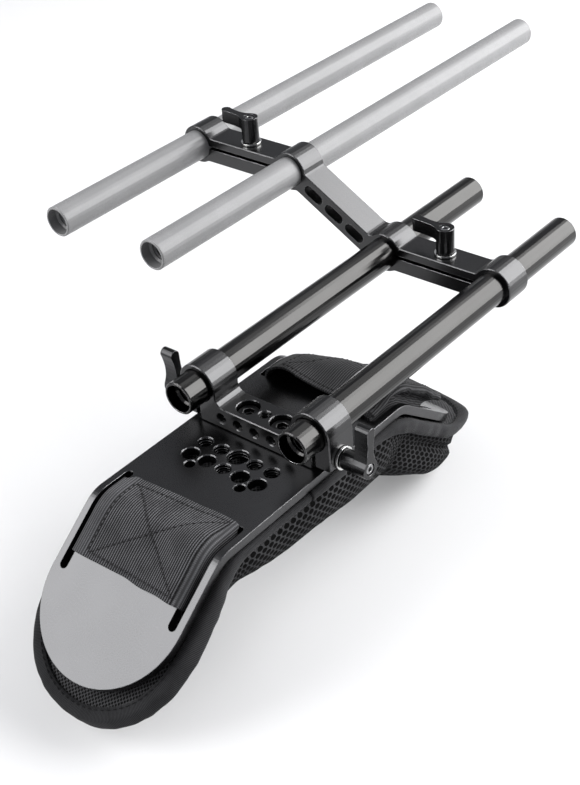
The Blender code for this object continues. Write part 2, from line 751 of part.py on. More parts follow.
def pad_loft(inset, top, bottom, corner=0.0):
    """Closed solid with the pad's plan, inset from its edge, between two depths.

    bottom is a function of the distance; corner rounds the lower edge all round."""
    half_w = PAD_HALF_W - inset
    reach = PAD_REACH - inset
    bm = bmesh.new()
    rings = []
    for distance in pad_stations(reach, half_w):
        beyond = max(abs(distance) - (reach - half_w), 0.0)
        half = math.sqrt(half_w ** 2 - beyond ** 2)
        low = bottom(distance)
        section = [(-half, top), (half, top)]
        if corner:
            radius = min(corner, (low - top) * 0.85)
            edge = min(reach - abs(distance), radius)
            low -= radius - math.sqrt(radius ** 2 - (radius - edge) ** 2)
            rise = min(radius, low - top - 0.6)
            side = min(radius, half * 0.8)
            quarter = arc(0, 0, 1.0, 0, 90, 5)
            section += [(half - side + side * c, low - rise + rise * s) for c, s in quarter]
            section += [(side - half - side * c, low - rise + rise * s) for c, s in reversed(quarter)]
        else:
            section += [(half, low), (-half, low)]
        ring = []
        for x, depth in section:
            y, z = plate_path(distance, depth, PAD_BEND_R, PLATE_BEND_Y)
            ring.append(bm.verts.new((x, y, z)))
        rings.append(ring)
    count = len(rings[0])
    for a, b in zip(rings, rings[1:]):
        for i in range(count):
            j = (i + 1) % count
            bm.faces.new((a[i], a[j], b[j], b[i]))
    bm.faces.new(rings[0])
    bm.faces.new(rings[-1][::-1])
    return bm


def pad(mats):
    """Foam in an open-topped mesh cover, closed by a panel and bound round its edge."""
    binding_low = BINDING_TOP + BINDING_H
    cover_top = binding_low + GAP
    cover_inset = 0.8
    inner = BINDING_W - BINDING_OUT
    wall = cover_inset + COVER_T
    cover = new_object("pad_mesh_cover", pad_loft(cover_inset, cover_top, pad_bottom, PAD_CORNER_R), mats["mesh"])
    inside = pad_loft(wall, cover_top - 2, lambda d: pad_bottom(d) - COVER_T, PAD_CORNER_R - COVER_T)
    boolean(cover, new_object("cover_inside", inside))
    foam_top = PAD_TOP + PANEL_T + GAP
    foam = pad_loft(inner + GAP, foam_top, lambda d: pad_bottom(d) - COVER_T - GAP, PAD_CORNER_R - COVER_T)
    new_object("pad_foam", foam, mats["foam"])
    panel = pad_loft(inner + GAP, PAD_TOP, lambda d: PAD_TOP + PANEL_T)
    new_object("pad_top_panel", panel, mats["fabric"])
    rim = pad_loft(-BINDING_OUT, BINDING_TOP, lambda d: binding_low)
    binding = new_object("pad_binding", rim, mats["fabric"])
    hole = pad_loft(inner, BINDING_TOP - 2, lambda d: binding_low + 2)
    boolean(binding, new_object("binding_inside", hole))


def strap(name, side, mat):
    """Webbing loop over the plate, down through both slots and folded in under the plate."""
    half = SLOT_X - SLOT_W / 2 + GAP + STRAP_T  # the loop bears on the inner wall of each slot
    tail = 13.0
    over, under = -GAP - STRAP_T, PLATE_T + GAP + STRAP_T
    section = [(-half + 0.7, over), (half - 0.7, over), (half, over + 0.7), (half, under - 0.5),
               (half - 0.5, under), (tail, under), (tail, under - STRAP_T), (half - STRAP_T, under - STRAP_T),
               (half - STRAP_T, over + STRAP_T), (-half + STRAP_T, over + STRAP_T),
               (-half + STRAP_T, under - STRAP_T), (-tail, under - STRAP_T), (-tail, under),
               (-half + 0.5, under), (-half, under - 0.5), (-half, over + 0.7)]
    end = path_distance(STRAP_END, PLATE_BEND_R, PLATE_BEND_Y)
    bm = bmesh.new()
    rings = []
    for distance in bend_stations(STRAP_Y, end, 8):
        ring = [bm.verts.new(plate_point(x, side * distance, depth)) for x, depth in section]
        rings.append(ring)
    count = len(section)
    for a, b in zip(rings, rings[1:]):
        for i in range(count):
            j = (i + 1) % count
            bm.faces.new((a[i], a[j], b[j], b[i]))
    bm.faces.new(rings[0])
    bm.faces.new(rings[-1][::-1])
    new_object(name, bm, mat)


def build():
    for obj in list(bpy.data.objects):
        bpy.data.objects.remove(obj, do_unlink=True)
    mats = {
        "plate": material("black_anodised_satin", (0.025, 0.025, 0.027), 0.42, 0.9),
        "block": material("black_anodised_block", (0.03, 0.03, 0.032), 0.34, 0.9),
        "rod": material("black_anodised_gloss", (0.02, 0.02, 0.022), 0.2, 0.95),
        "silver": material("clear_anodised", (0.55, 0.55, 0.56), 0.3, 1.0),
        "lever": material("black_lever", (0.02, 0.02, 0.02), 0.35, 0.6),
        "steel": material("stainless", (0.68, 0.68, 0.68), 0.22, 1.0),
        "bolt": material("black_oxide", (0.03, 0.03, 0.03), 0.4, 0.9),
        "webbing": material("grey_webbing", (0.09, 0.09, 0.095), 0.85, 0.0),
        "fabric": material("black_fabric", (0.04, 0.04, 0.042), 0.9, 0.0),
        "mesh": material("spacer_mesh", (0.05, 0.05, 0.052), 0.9, 0.0),
        "foam": material("pad_foam", (0.12, 0.12, 0.12), 0.95, 0.0),
    }
    shoulder_plate(mats["plate"])
    pad(mats)
    strap("front_strap", -1, mats["webbing"])
    strap("rear_strap", 1, mats["webbing"])
    rod_clamp(mats["block"])
    clamp_bolt("clamp_bolt_left", -1, mats["bolt"])
    clamp_bolt("clamp_bolt_right", 1, mats["bolt"])
    for name, (x, y, length) in LOWER_RODS.items():
        rod(name, x, y, ROD_Z, length, mats["rod"])
    for name, (x, y, length) in UPPER_RODS.items():
        rod(name, x + UPPER_DX, y, ROD_Z + UPPER_DZ, length, mats["silver"])
    offset_rod_block(mats["block"])
    side_x = ROD_PITCH / 2 + COLLAR_R
    side_shank = side_x - 21.0
    lever("left_lever", (-side_x, CLAMP_Y, SIDE_AXIS_Z), (-1, 0, 0), (0, 0, 1), side_shank, mats)
    lever("right_lever", (side_x, CLAMP_Y, SIDE_AXIS_Z), (1, 0, 0), (0, 0, 1), side_shank, mats)
    bar_shank = BAR_TOP - BAR_BOTTOM - 0.5
    low_top = (0.0, OFFSET_Y, ROD_Z + BAR_TOP)
    high_top = (UPPER_DX, OFFSET_Y, ROD_Z + UPPER_DZ + BAR_TOP)
    lever("lower_lever", low_top, (0, 0, 1), (-1, 0, 0), bar_shank, mats)
    lever("upper_lever", high_top, (0, 0, 1), (-1, 0, 0), bar_shank, mats)


build()
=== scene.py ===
"""Looks of the shoulder rig: soft goods, stitching, threads, materials, light and camera."""
import json
import math
import bmesh
import bpy
from mathutils import Matrix, Vector, noise


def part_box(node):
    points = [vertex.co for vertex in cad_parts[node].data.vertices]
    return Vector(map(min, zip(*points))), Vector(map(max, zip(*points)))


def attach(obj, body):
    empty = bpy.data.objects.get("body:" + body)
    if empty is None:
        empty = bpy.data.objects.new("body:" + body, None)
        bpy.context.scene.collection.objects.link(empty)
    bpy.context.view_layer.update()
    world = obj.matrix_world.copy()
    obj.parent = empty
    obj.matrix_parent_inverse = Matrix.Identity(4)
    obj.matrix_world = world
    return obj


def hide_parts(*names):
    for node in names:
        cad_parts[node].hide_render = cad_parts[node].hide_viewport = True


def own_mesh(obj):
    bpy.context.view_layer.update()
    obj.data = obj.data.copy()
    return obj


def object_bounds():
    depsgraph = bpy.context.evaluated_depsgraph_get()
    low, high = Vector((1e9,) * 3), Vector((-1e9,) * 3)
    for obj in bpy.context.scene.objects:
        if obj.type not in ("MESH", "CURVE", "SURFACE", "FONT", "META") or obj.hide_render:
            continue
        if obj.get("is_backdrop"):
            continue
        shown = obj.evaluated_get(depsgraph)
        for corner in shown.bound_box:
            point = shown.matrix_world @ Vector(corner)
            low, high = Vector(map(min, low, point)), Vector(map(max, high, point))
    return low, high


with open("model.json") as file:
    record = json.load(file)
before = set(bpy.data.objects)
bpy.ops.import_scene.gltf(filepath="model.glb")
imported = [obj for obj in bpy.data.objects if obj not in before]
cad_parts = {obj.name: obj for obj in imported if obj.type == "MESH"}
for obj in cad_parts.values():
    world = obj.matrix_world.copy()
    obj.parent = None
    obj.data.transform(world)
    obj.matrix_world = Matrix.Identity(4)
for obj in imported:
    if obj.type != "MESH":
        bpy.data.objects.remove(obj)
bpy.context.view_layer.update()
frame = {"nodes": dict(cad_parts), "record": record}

MM = 0.001
SLOPE = math.radians(37.5)
CORNER = 57.65  # from the middle to where flat and slope would meet, in mm
PLATE_R, PLATE_T, PLATE_HALF_W = 15.0, 4.0, 34.5  # bend radius, thickness, half width
PAD_R, PAD_HALF_W, PAD_END = 36.0, 36.5, 78.0  # bend radius, half width, length along the slope
# depth of the pad's underside at distances along it
PAD_BOTTOM = [(-135, 14), (-105, 19.5), (-55, 22.5), (-15, 28.5), (30, 31.5), (80, 34), (100, 33), (135, 25)]
REAR_STRETCH = 5.6  # the rear lobe reaches past the plate
REAR_CURL = 10.3  # and its free rim curls up,
REAR_CURL_SLANT = 0.065  # by less towards the right, per mm of x
FRONT_STRETCH = -0.6
FRONT_SHIFT = 1.1  # the front lobe sits off centre, to the right
SLOT_X = 28.2  # middle of the webbing where it bears on the inner wall of each slot
STRAP_T = 1.4
WEBBING_T = STRAP_T - 0.4  # as drawn, so that the loop clears the plate
CLAMP_HOLE_PITCH = 9.0
CLAMP_NEAR_Y, CLAMP_MID_Y, CLAMP_TOP = 1.5, 9.0, 10.4
CLAMP_HOLE_Z = 5.3


# ------------------------------------------------------------ path along the plate and pad

def path(x, distance, depth, radius):
    """Point at a signed distance along the bent path and a depth below the plate's top, in metres."""
    side = 1 if distance >= 0 else -1
    run = abs(distance)
    flat = CORNER - radius * math.tan(SLOPE / 2)
    bend = radius * SLOPE
    r = radius - depth
    if run <= flat:
        y, z = run, -depth
    elif run <= flat + bend:
        a = (run - flat) / radius
        y, z = flat + r * math.sin(a), r * math.cos(a) - radius
    else:
        rest = run - flat - bend
        y = flat + r * math.sin(SLOPE) + rest * math.cos(SLOPE)
        z = r * math.cos(SLOPE) - radius - rest * math.sin(SLOPE)
    return Vector((x, side * y, z)) * MM


def unpath(point, radius):
    """Signed distance and depth of a point, the inverse of path."""
    y, z = point.y / MM, point.z / MM
    side = 1 if y >= 0 else -1
    flat = CORNER - radius * math.tan(SLOPE / 2)
    dy, dz = abs(y) - flat, z + radius
    if dy <= 0:
        return side * abs(y), -z
    a = math.atan2(dy, dz)
    if 0 <= a <= SLOPE:
        return side * (flat + radius * a), radius - math.hypot(dy, dz)
    rest = dy * math.cos(SLOPE) - dz * math.sin(SLOPE)
    return side * (flat + radius * SLOPE + rest), radius - dy * math.sin(SLOPE) - dz * math.cos(SLOPE)


def reach_of(along_slope, radius):
    tangent = radius * math.tan(SLOPE / 2)
    return CORNER - 2 * tangent + radius * SLOPE + along_slope


PAD_REACH = reach_of(PAD_END, PAD_R)
PAD_CENTRE = PAD_REACH - PAD_HALF_W
PLATE_TIP_CENTRE = reach_of(67.0 - PLATE_HALF_W, PAD_R)


def smooth(low, high, value):
    t = min(max((value - low) / (high - low), 0.0), 1.0)
    return t * t * (3 - 2 * t)


def pad_point(x, distance, depth):
    """The pad follows the plate, and its free rear rim reaches past the plate and curls up."""
    if distance > 0:
        outside = math.hypot(x, max(distance - PLATE_TIP_CENTRE, 0.0)) - PLATE_HALF_W
        curl = REAR_CURL - REAR_CURL_SLANT * x
        depth -= curl * smooth(-1.0, 9.0, outside) * smooth(88.0, 126.0, distance)
        distance += REAR_STRETCH * smooth(92.0, 135.0, distance)
    else:
        x += FRONT_SHIFT * smooth(50.0, 105.0, -distance)
        distance -= FRONT_STRETCH * smooth(98.0, 135.0, -distance)
    return path(x, distance, depth, PAD_R)


def pad_bottom(distance):
    for (d0, depth0), (d1, depth1) in zip(PAD_BOTTOM, PAD_BOTTOM[1:]):
        if distance <= d1:
            return depth0 + (depth1 - depth0) * smooth(d0, d1, distance)
    return PAD_BOTTOM[-1][1]


def middle(distance):
    """1 where the pad passes under the plate's flat, where the edge tape tucks in and the mesh stands out."""
    return 1.0 - smooth(35.0, 70.0, abs(distance + 4.0))


def outline(a):
    """Point and outward normal on the pad's plan at arc length a from the middle of the right side."""
    straight, turn = PAD_CENTRE, math.pi * PAD_HALF_W
    total = 4 * straight + 2 * turn
    a %= total
    if a < straight:
        return PAD_HALF_W, a, 1.0, 0.0
    if a < straight + turn:
        t = (a - straight) / PAD_HALF_W
        return PAD_HALF_W * math.cos(t), straight + PAD_HALF_W * math.sin(t), math.cos(t), math.sin(t)
    if a < 3 * straight + turn:
        return -PAD_HALF_W, 2 * straight + turn - a, -1.0, 0.0
    if a < 3 * straight + 2 * turn:
        t = (a - 3 * straight - turn) / PAD_HALF_W
        return -PAD_HALF_W * math.cos(t), -straight - PAD_HALF_W * math.sin(t), -math.cos(t), -math.sin(t)
    return PAD_HALF_W, a - total, 1.0, 0.0


PERIMETER = 4 * PAD_CENTRE + 2 * math.pi * PAD_HALF_W


# ------------------------------------------------------------ mesh helpers

def make_object(name, bm, materials, body):
    bmesh.ops.recalc_face_normals(bm, faces=bm.faces)
    mesh = bpy.data.meshes.new(name)
    bm.to_mesh(mesh)
    bm.free()
    for p in mesh.polygons:
        p.use_smooth = True
    for m in materials:
        mesh.materials.append(m)
    obj = bpy.data.objects.new(name, mesh)
    bpy.context.scene.collection.objects.link(obj)
    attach(obj, body)
    return obj


def store(mesh, name, values):
    """Keeps a vector, in mm, on every vertex for the materials to read."""
    attribute = mesh.attributes.new(name, "FLOAT_VECTOR", "POINT")
    attribute.data.foreach_set("vector", [c for v in values for c in v])


def skin(bm, rings, closed):
    """Quads between rings of vertices; closed says whether each ring closes on itself."""
    for a, b in zip(rings, rings[1:]):
        count = len(a) if closed else len(a) - 1
        for i in range(count):
            j = (i + 1) % len(a)
            bm.faces.new((a[i], a[j], b[j], b[i]))


def stitch(bm, at, along, normal, length, radius):
    """One sewn stitch, a thread that dips in at both ends."""
    along = along.normalized()
    side = along.cross(normal).normalized()
    up = side.cross(along)
    rings = []
    for i in range(6):
        t = -1 + 2 * i / 5
        r = radius * math.sqrt(max(1 - 0.92 * t * t, 0.0))
        core = at + along * (length / 2 * t) - up * (radius * 0.9 * t * t)
        ring = []
        for k in range(6):
            b = math.pi * 2 * k / 6
            ring.append(bm.verts.new(core + side * (r * math.cos(b)) + up * (r * math.sin(b))))
        rings.append(ring)
    skin(bm, rings, True)
    bm.faces.new(rings[0])
    bm.faces.new(rings[-1][::-1])


def sew(bm, point, count, length, radius, lift):
    """A row of stitches along point(t), which returns a place and a surface normal."""
    for i in range(count):
        t = (i + 0.5) / count
        at, normal = point(t)
        ahead = point(min(t + 0.3 / count, 1.0))[0] - point(max(t - 0.3 / count, 0.0))[0]
        if ahead.length > 1e-9:
            stitch(bm, at + normal * (lift * MM), ahead, normal, length * MM, radius * MM)


# ------------------------------------------------------------ node helpers

def start_material(name, **settings):
    mat = bpy.data.materials.new(name)
    mat.use_nodes = True
    shader = mat.node_tree.nodes["Principled BSDF"]
    for socket, value in settings.items():
        shader.inputs[socket.replace("_", " ")].default_value = value
    return mat, mat.node_tree, shader


def add(tree, kind, inputs=(), **settings):
    n = tree.nodes.new("ShaderNode" + kind)
    for key, value in settings.items():
        setattr(n, key, value)
    for key, value in dict(inputs).items():
        if isinstance(value, bpy.types.NodeSocket):
            tree.links.new(value, n.inputs[key])
        else:
            n.inputs[key].default_value = value
    return n


def math_of(tree, operation, a, b=0.0, c=0.0):
    return add(tree, "Math", {0: a, 1: b, 2: c}, operation=operation).outputs[0]


def ramp(tree, value, low, high, out_low=0.0, out_high=1.0):
    n = add(tree, "MapRange", {"Value": value, "From Min": low, "From Max": high,
                               "To Min": out_low, "To Max": out_high}, interpolation_type="SMOOTHSTEP")
    return n.outputs["Result"]


def mix(tree, factor, a, b):
    n = add(tree, "Mix", {"Factor": factor}, data_type="RGBA")
    for socket, value in ((n.inputs[6], a), (n.inputs[7], b)):
        if isinstance(value, bpy.types.NodeSocket):
            tree.links.new(value, socket)
        else:
            socket.default_value = (*value, 1.0)
    return n.outputs[2]


def grains(tree, vector, scale, detail=2.0):
    return add(tree, "TexNoise", {"Vector": vector, "Scale": scale, "Detail": detail}).outputs["Fac"]


def object_vector(tree, scale=(1.0, 1.0, 1.0)):
    coordinate = add(tree, "TexCoord").outputs["Object"]
    return add(tree, "Mapping", {"Vector": coordinate, "Scale": scale}).outputs["Vector"]


def stored_mm(tree, name):
    attribute = add(tree, "Attribute", attribute_name=name).outputs["Vector"]
    parts = add(tree, "SeparateXYZ", {"Vector": attribute})
    return attribute, parts.outputs["X"], parts.outputs["Y"], parts.outputs["Z"]


def ripple(tree, value, period, phase=0.0):
    """0 to 1 sine of that period."""
    angle = math_of(tree, "MULTIPLY_ADD", value, 2 * math.pi / period, phase)
    return math_of(tree, "MULTIPLY_ADD", math_of(tree, "SINE", angle), 0.5, 0.5)


def set_bump(tree, shader, height, distance, strength=1.0, normal=None):
    inputs = {"Height": height, "Distance": distance, "Strength": strength}
    if normal is not None:
        inputs["Normal"] = normal
    tree.links.new(add(tree, "Bump", inputs).outputs["Normal"], shader.inputs["Normal"])


def holes(tree, a, b, pitch, half_a, half_b):
    """1 inside the staggered oval holes of a mesh knit."""
    p = math_of(tree, "DIVIDE", math_of(tree, "ADD", a, b), pitch)
    q = math_of(tree, "DIVIDE", math_of(tree, "SUBTRACT", a, b), pitch)
    fp = math_of(tree, "SUBTRACT", p, math_of(tree, "ROUND", p))
    fq = math_of(tree, "SUBTRACT", q, math_of(tree, "ROUND", q))
    da = math_of(tree, "MULTIPLY", math_of(tree, "ADD", fp, fq), pitch / 2 / half_a)
    db = math_of(tree, "MULTIPLY", math_of(tree, "SUBTRACT", fp, fq), pitch / 2 / half_b)
    r = math_of(tree, "SQRT", math_of(tree, "ADD", math_of(tree, "MULTIPLY", da, da),
                                      math_of(tree, "MULTIPLY", db, db)))
    return ramp(tree, r, 0.82, 1.04, 1.0, 0.0)


# ------------------------------------------------------------ materials

def metal(name, color, rough, stretch=(1, 1, 1), grain=0.02, edge=(0.25, 0.25, 0.26), edge_mm=0.3,
          blast=0.0, metallic=1.0, specular=0.5):
    """Anodised or bare metal: machining or blast grain, uneven sheen, softened edges painted lighter in
    patches as a painted highlight.
    """
    mat, tree, shader = start_material(name, Metallic=metallic, Specular_IOR_Level=specular)
    plain = object_vector(tree)
    fine = grains(tree, object_vector(tree, stretch), 2600.0, 3.0)
    cloudy = grains(tree, plain, 45.0, 3.0)
    rounded = add(tree, "Bevel", {"Radius": edge_mm * MM}, samples=6).outputs["Normal"]
    flat = add(tree, "NewGeometry").outputs["Normal"]
    facing = add(tree, "VectorMath", {0: rounded, 1: flat}, operation="DOT_PRODUCT").outputs["Value"]
    # edges painted lighter in patches: a painted highlight along them
    painted_edge_highlight = math_of(tree, "MULTIPLY", ramp(tree, facing, 0.99, 0.86),
                   ramp(tree, grains(tree, plain, 420.0), 0.3, 0.6))
    body = mix(tree, ramp(tree, cloudy, 0.2, 0.8), color, tuple(c * 1.08 for c in color))
    tree.links.new(mix(tree, painted_edge_highlight, body, edge), shader.inputs["Base Color"])
    uneven = math_of(tree, "MULTIPLY_ADD", cloudy, 0.03, rough - 0.015)
    tree.links.new(math_of(tree, "MULTIPLY_ADD", fine, 0.06, math_of(tree, "SUBTRACT", uneven, 0.03)),
                   shader.inputs["Roughness"])
    height = fine
    if blast:
        height = math_of(tree, "ADD", fine, math_of(tree, "MULTIPLY", grains(tree, plain, 5200.0), blast))
    set_bump(tree, shader, height, grain * MM, 1.0, rounded)
    return mat


KNIT_HOLES = (4.0, 1.55, 1.02)  # pitch, half length and half width, in mm
PIN_HOLES = (1.9, 0.62, 0.50)
# near black: the dark foam and the painted shade in the depth of the mesh holes
PAINTED_HOLE_SHADE = (0.0005, 0.0005, 0.0005)
RIB, WEFT = 1.14, 0.73  # of the straps' webbing, in mm


def mesh_knit():
    """Spacer mesh: staggered oval holes in a knitted face, over a dark foam; the holes are painted near
    black, the dark foam with painted shade in their depth.
    """
    mat, tree, shader = start_material("spacer_mesh_knit", Sheen_Weight=0.0, Sheen_Roughness=0.4,
                                       Specular_IOR_Level=0.06)
    _, along, across, wall = stored_mm(tree, "wall_mm")
    _, lie_x, lie_d, _ = stored_mm(tree, "plan_mm")
    on_wall = holes(tree, along, across, *KNIT_HOLES)
    below = holes(tree, lie_d, lie_x, *KNIT_HOLES)
    hole = math_of(tree, "ADD", math_of(tree, "MULTIPLY", on_wall, wall),
                   math_of(tree, "MULTIPLY", below, math_of(tree, "SUBTRACT", 1.0, wall)))
    plain = object_vector(tree)
    yarn = grains(tree, plain, 3300.0, 3.0)
    fade = grains(tree, plain, 55.0, 2.0)
    face = mix(tree, ramp(tree, yarn, 0.3, 0.7), (0.011, 0.011, 0.012), (0.046, 0.046, 0.048))
    face = mix(tree, math_of(tree, "MULTIPLY", ramp(tree, fade, 0.35, 0.7), 0.4), face, (0.052, 0.052, 0.054))
    tree.links.new(mix(tree, hole, face, PAINTED_HOLE_SHADE), shader.inputs["Base Color"])
    tree.links.new(ramp(tree, yarn, 0.2, 0.8, 0.72, 0.95), shader.inputs["Roughness"])
    height = math_of(tree, "SUBTRACT", math_of(tree, "MULTIPLY", yarn, 0.22), hole)
    set_bump(tree, shader, height, 0.9 * MM, 0.9)
    return mat


def fine_mesh():
    """The pad's upper cloth, an air mesh with pin holes."""
    mat, tree, shader = start_material("fine_air_mesh", Sheen_Weight=0.02, Sheen_Roughness=0.5,
                                       Specular_IOR_Level=0.12)
    _, x, d, _ = stored_mm(tree, "plan_mm")
    pin = holes(tree, d, x, *PIN_HOLES)
    yarn = grains(tree, object_vector(tree), 4000.0, 2.0)
    face = mix(tree, ramp(tree, yarn, 0.3, 0.7), (0.022, 0.022, 0.023), (0.085, 0.085, 0.089))
    # the pin holes are painted near black: painted shade in their depth
    tree.links.new(mix(tree, pin, face, PAINTED_HOLE_SHADE), shader.inputs["Base Color"])
    tree.links.new(ramp(tree, yarn, 0.2, 0.8, 0.75, 0.95), shader.inputs["Roughness"])
    height = math_of(tree, "SUBTRACT", math_of(tree, "MULTIPLY", yarn, 0.3), pin)
    set_bump(tree, shader, height, 0.35 * MM, 0.8)
    return mat


def seam_mask(tree, u, v, lines):
    """1 along rows of sewing, where the thread draws the cloth down; lines are (u0, v0, u1, v1) in mm."""
    total = None
    for u0, v0, u1, v1 in lines:
        length = math.dist((u0, v0), (u1, v1))
        cx, cy = (u1 - u0) / length, (v1 - v0) / length
        du, dv = math_of(tree, "SUBTRACT", u, u0), math_of(tree, "SUBTRACT", v, v0)
        off = math_of(tree, "ADD", math_of(tree, "MULTIPLY", du, -cy), math_of(tree, "MULTIPLY", dv, cx))
        run = math_of(tree, "ADD", math_of(tree, "MULTIPLY", du, cx), math_of(tree, "MULTIPLY", dv, cy))
        near = ramp(tree, math_of(tree, "ABSOLUTE", off), 0.30, 0.85, 1.0, 0.0)
        within = math_of(tree, "COMPARE", run, length / 2, length / 2)
        one = math_of(tree, "MULTIPLY", near, within)
        total = one if total is None else math_of(tree, "MAXIMUM", total, one)
    return total


def ribbed_cloth(name, dark, light, rib, cross, depth, edges=False, sheen=0.3, seams=()):
    """Woven tape or webbing: ribs of one period, crossed by a finer weft that steps from rib to rib; the
    colour is painted dark in the grooves and light on the ribs, a painted shade and painted highlight over
    the weave.
    """
    mat, tree, shader = start_material(name, Sheen_Weight=sheen, Sheen_Roughness=0.4,
                                       Specular_IOR_Level=0.15)
    vector, u, v, band = stored_mm(tree, "weave_mm")
    rounded = math_of(tree, "POWER", ripple(tree, u, rib), 1.1)
    step = math_of(tree, "MULTIPLY", math_of(tree, "FLOOR", math_of(tree, "DIVIDE", u, rib)), math.pi)
    angle = math_of(tree, "ADD", math_of(tree, "MULTIPLY", v, 2 * math.pi / cross), step)
    weft = math_of(tree, "MULTIPLY_ADD", math_of(tree, "SINE", angle), 0.5, 0.5)
    woven = math_of(tree, "MULTIPLY", rounded, math_of(tree, "MULTIPLY_ADD", weft, 0.45, 0.55))
    drawn = add(tree, "Mapping", {"Vector": vector, "Scale": (6.0, 1.2, 1.0)}).outputs[0]
    fibre = grains(tree, drawn, 1.0, 3.0)
    patch = grains(tree, vector, 0.11, 2.0)
    # tone: painted shade in the weave's grooves and painted highlight on its ribs, with random fibre tone
    tone = math_of(tree, "ADD", math_of(tree, "MULTIPLY", woven, 0.75),
                   math_of(tree, "MULTIPLY", fibre, 0.35))
    color = mix(tree, ramp(tree, tone, 0.1, 1.0), dark, light)
    color = mix(tree, math_of(tree, "MULTIPLY", ramp(tree, patch, 0.4, 0.7), 0.3), color, dark)
    if edges:
        color = mix(tree, math_of(tree, "MULTIPLY", ramp(tree, band, 0.0, 1.0), 0.35), color,
                    tuple(c * 0.62 for c in light))
    height = math_of(tree, "ADD", woven, math_of(tree, "MULTIPLY", fibre, 0.25))
    if seams:
        seam = seam_mask(tree, u, v, seams)
        # the cloth is painted darker along the seams: painted shade in the sewn grooves
        color = mix(tree, math_of(tree, "MULTIPLY", seam, 0.28), color, (0.004, 0.004, 0.004))
        height = math_of(tree, "SUBTRACT", height, math_of(tree, "MULTIPLY", seam, 0.8))
    tree.links.new(color, shader.inputs["Base Color"])
    tree.links.new(ramp(tree, tone, 0.1, 1.0, 0.92, 0.66), shader.inputs["Roughness"])
    set_bump(tree, shader, height, depth * MM, 0.9)
    return mat


def thread_material(name, color):
    mat, tree, shader = start_material(name, Sheen_Weight=0.02, Specular_IOR_Level=0.15)
    twist = grains(tree, object_vector(tree), 5000.0, 1.0)
    tree.links.new(mix(tree, ramp(tree, twist, 0.3, 0.7), tuple(c * 0.6 for c in color), color),
                   shader.inputs["Base Color"])
    tree.links.new(ramp(tree, twist, 0.2, 0.8, 0.55, 0.75), shader.inputs["Roughness"])
    set_bump(tree, shader, twist, 0.08 * MM, 0.6)
    return mat


# scale of the grain on x, y and z: drawn out along the tubes, in rings on turned parts
DRAWN, TURNED = (6.0, 0.4, 6.0), (1, 1, 8)
# the edge colour of each metal is a painted highlight along its edges
MATERIALS = {
    "plate": metal("satin_black_anodise", (0.073, 0.073, 0.075), rough=0.28, grain=0.005, blast=0.5,
                   edge=(0.30, 0.30, 0.31)),
    "block": metal("black_anodised_block", (0.058, 0.058, 0.059), rough=0.25, grain=0.003,
                   edge=(0.32, 0.32, 0.33)),
    "black_rod": metal("gloss_black_tube", (0.036, 0.0356, 0.035), rough=0.18, stretch=DRAWN, grain=0.001,
                       edge=(0.45, 0.45, 0.46)),
    "silver_rod": metal("clear_anodised_tube", (0.185, 0.185, 0.187), rough=0.27, stretch=DRAWN,
                        grain=0.0015, edge=(0.7, 0.7, 0.7), metallic=0.03, specular=0.22),
    "lever": metal("satin_black_lever", (0.038, 0.038, 0.039), rough=0.26, grain=0.005, blast=0.4,
                   edge=(0.30, 0.30, 0.31)),
    "screw": metal("dark_steel_screw", (0.24, 0.24, 0.245), rough=0.25, stretch=TURNED, grain=0.004,
                   edge=(0.6, 0.6, 0.6)),
    "steel": metal("stainless_steel", (0.62, 0.62, 0.61), rough=0.22, stretch=TURNED, grain=0.004,
                   edge=(0.8, 0.8, 0.8)),
    "bolt": metal("black_oxide_steel", (0.018, 0.018, 0.019), rough=0.45, grain=0.006,
                  edge=(0.3, 0.3, 0.3)),
}
MESH_KNIT = mesh_knit()
FINE_MESH = fine_mesh()
TAPE = ribbed_cloth("grosgrain_tape", (0.006, 0.006, 0.0065), (0.042, 0.042, 0.045),
                    rib=0.62, cross=0.5, depth=0.10, sheen=0.06)
THREAD = thread_material("black_thread", (0.011, 0.011, 0.012))


def dress_frame():
    """Each carried-over CAD node that finish_of names gets that finish's material."""
    for name, obj in frame["nodes"].items():
        finish = finish_of(name)
        if finish is None:
            continue
        if not obj.material_slots:
            obj.data.materials.append(MATERIALS[finish])
        for s in obj.material_slots:
            s.material = MATERIALS[finish]


def finish_of(node):
    if node.startswith("upper_left_rod") or node.startswith("upper_right_rod"):
        return "silver_rod"
    if node.startswith("lower_left_rod") or node.startswith("lower_right_rod"):
        return "black_rod"
    if node in ("rod_clamp", "offset_rod_block"):
        return "block"
    if node == "shoulder_plate":
        return "plate"
    if node.startswith("clamp_bolt"):
        return "bolt"
    if node.endswith("_handle"):
        return "lever"
    if node.endswith("_retaining_screw"):
        return "screw"
    if node.endswith(("_washer", "_stud", "_spring")):
        return "steel"
    return None


# ------------------------------------------------------------ pad

CUSHION_INSET = 1.5  # the blank is this much smaller than the pad
CUSHION_CORNER = 10.0  # radius of its lower edge
CUSHION_TOP = 6.9  # depth of its upper face
CUSHION_LEAST_DEPTH = 6.6  # the swollen top stays below this, under the plate
REAR_PUSH = 5.6  # the rear lobe's wall bulges towards the end
CLOTH_FRAMES = 20


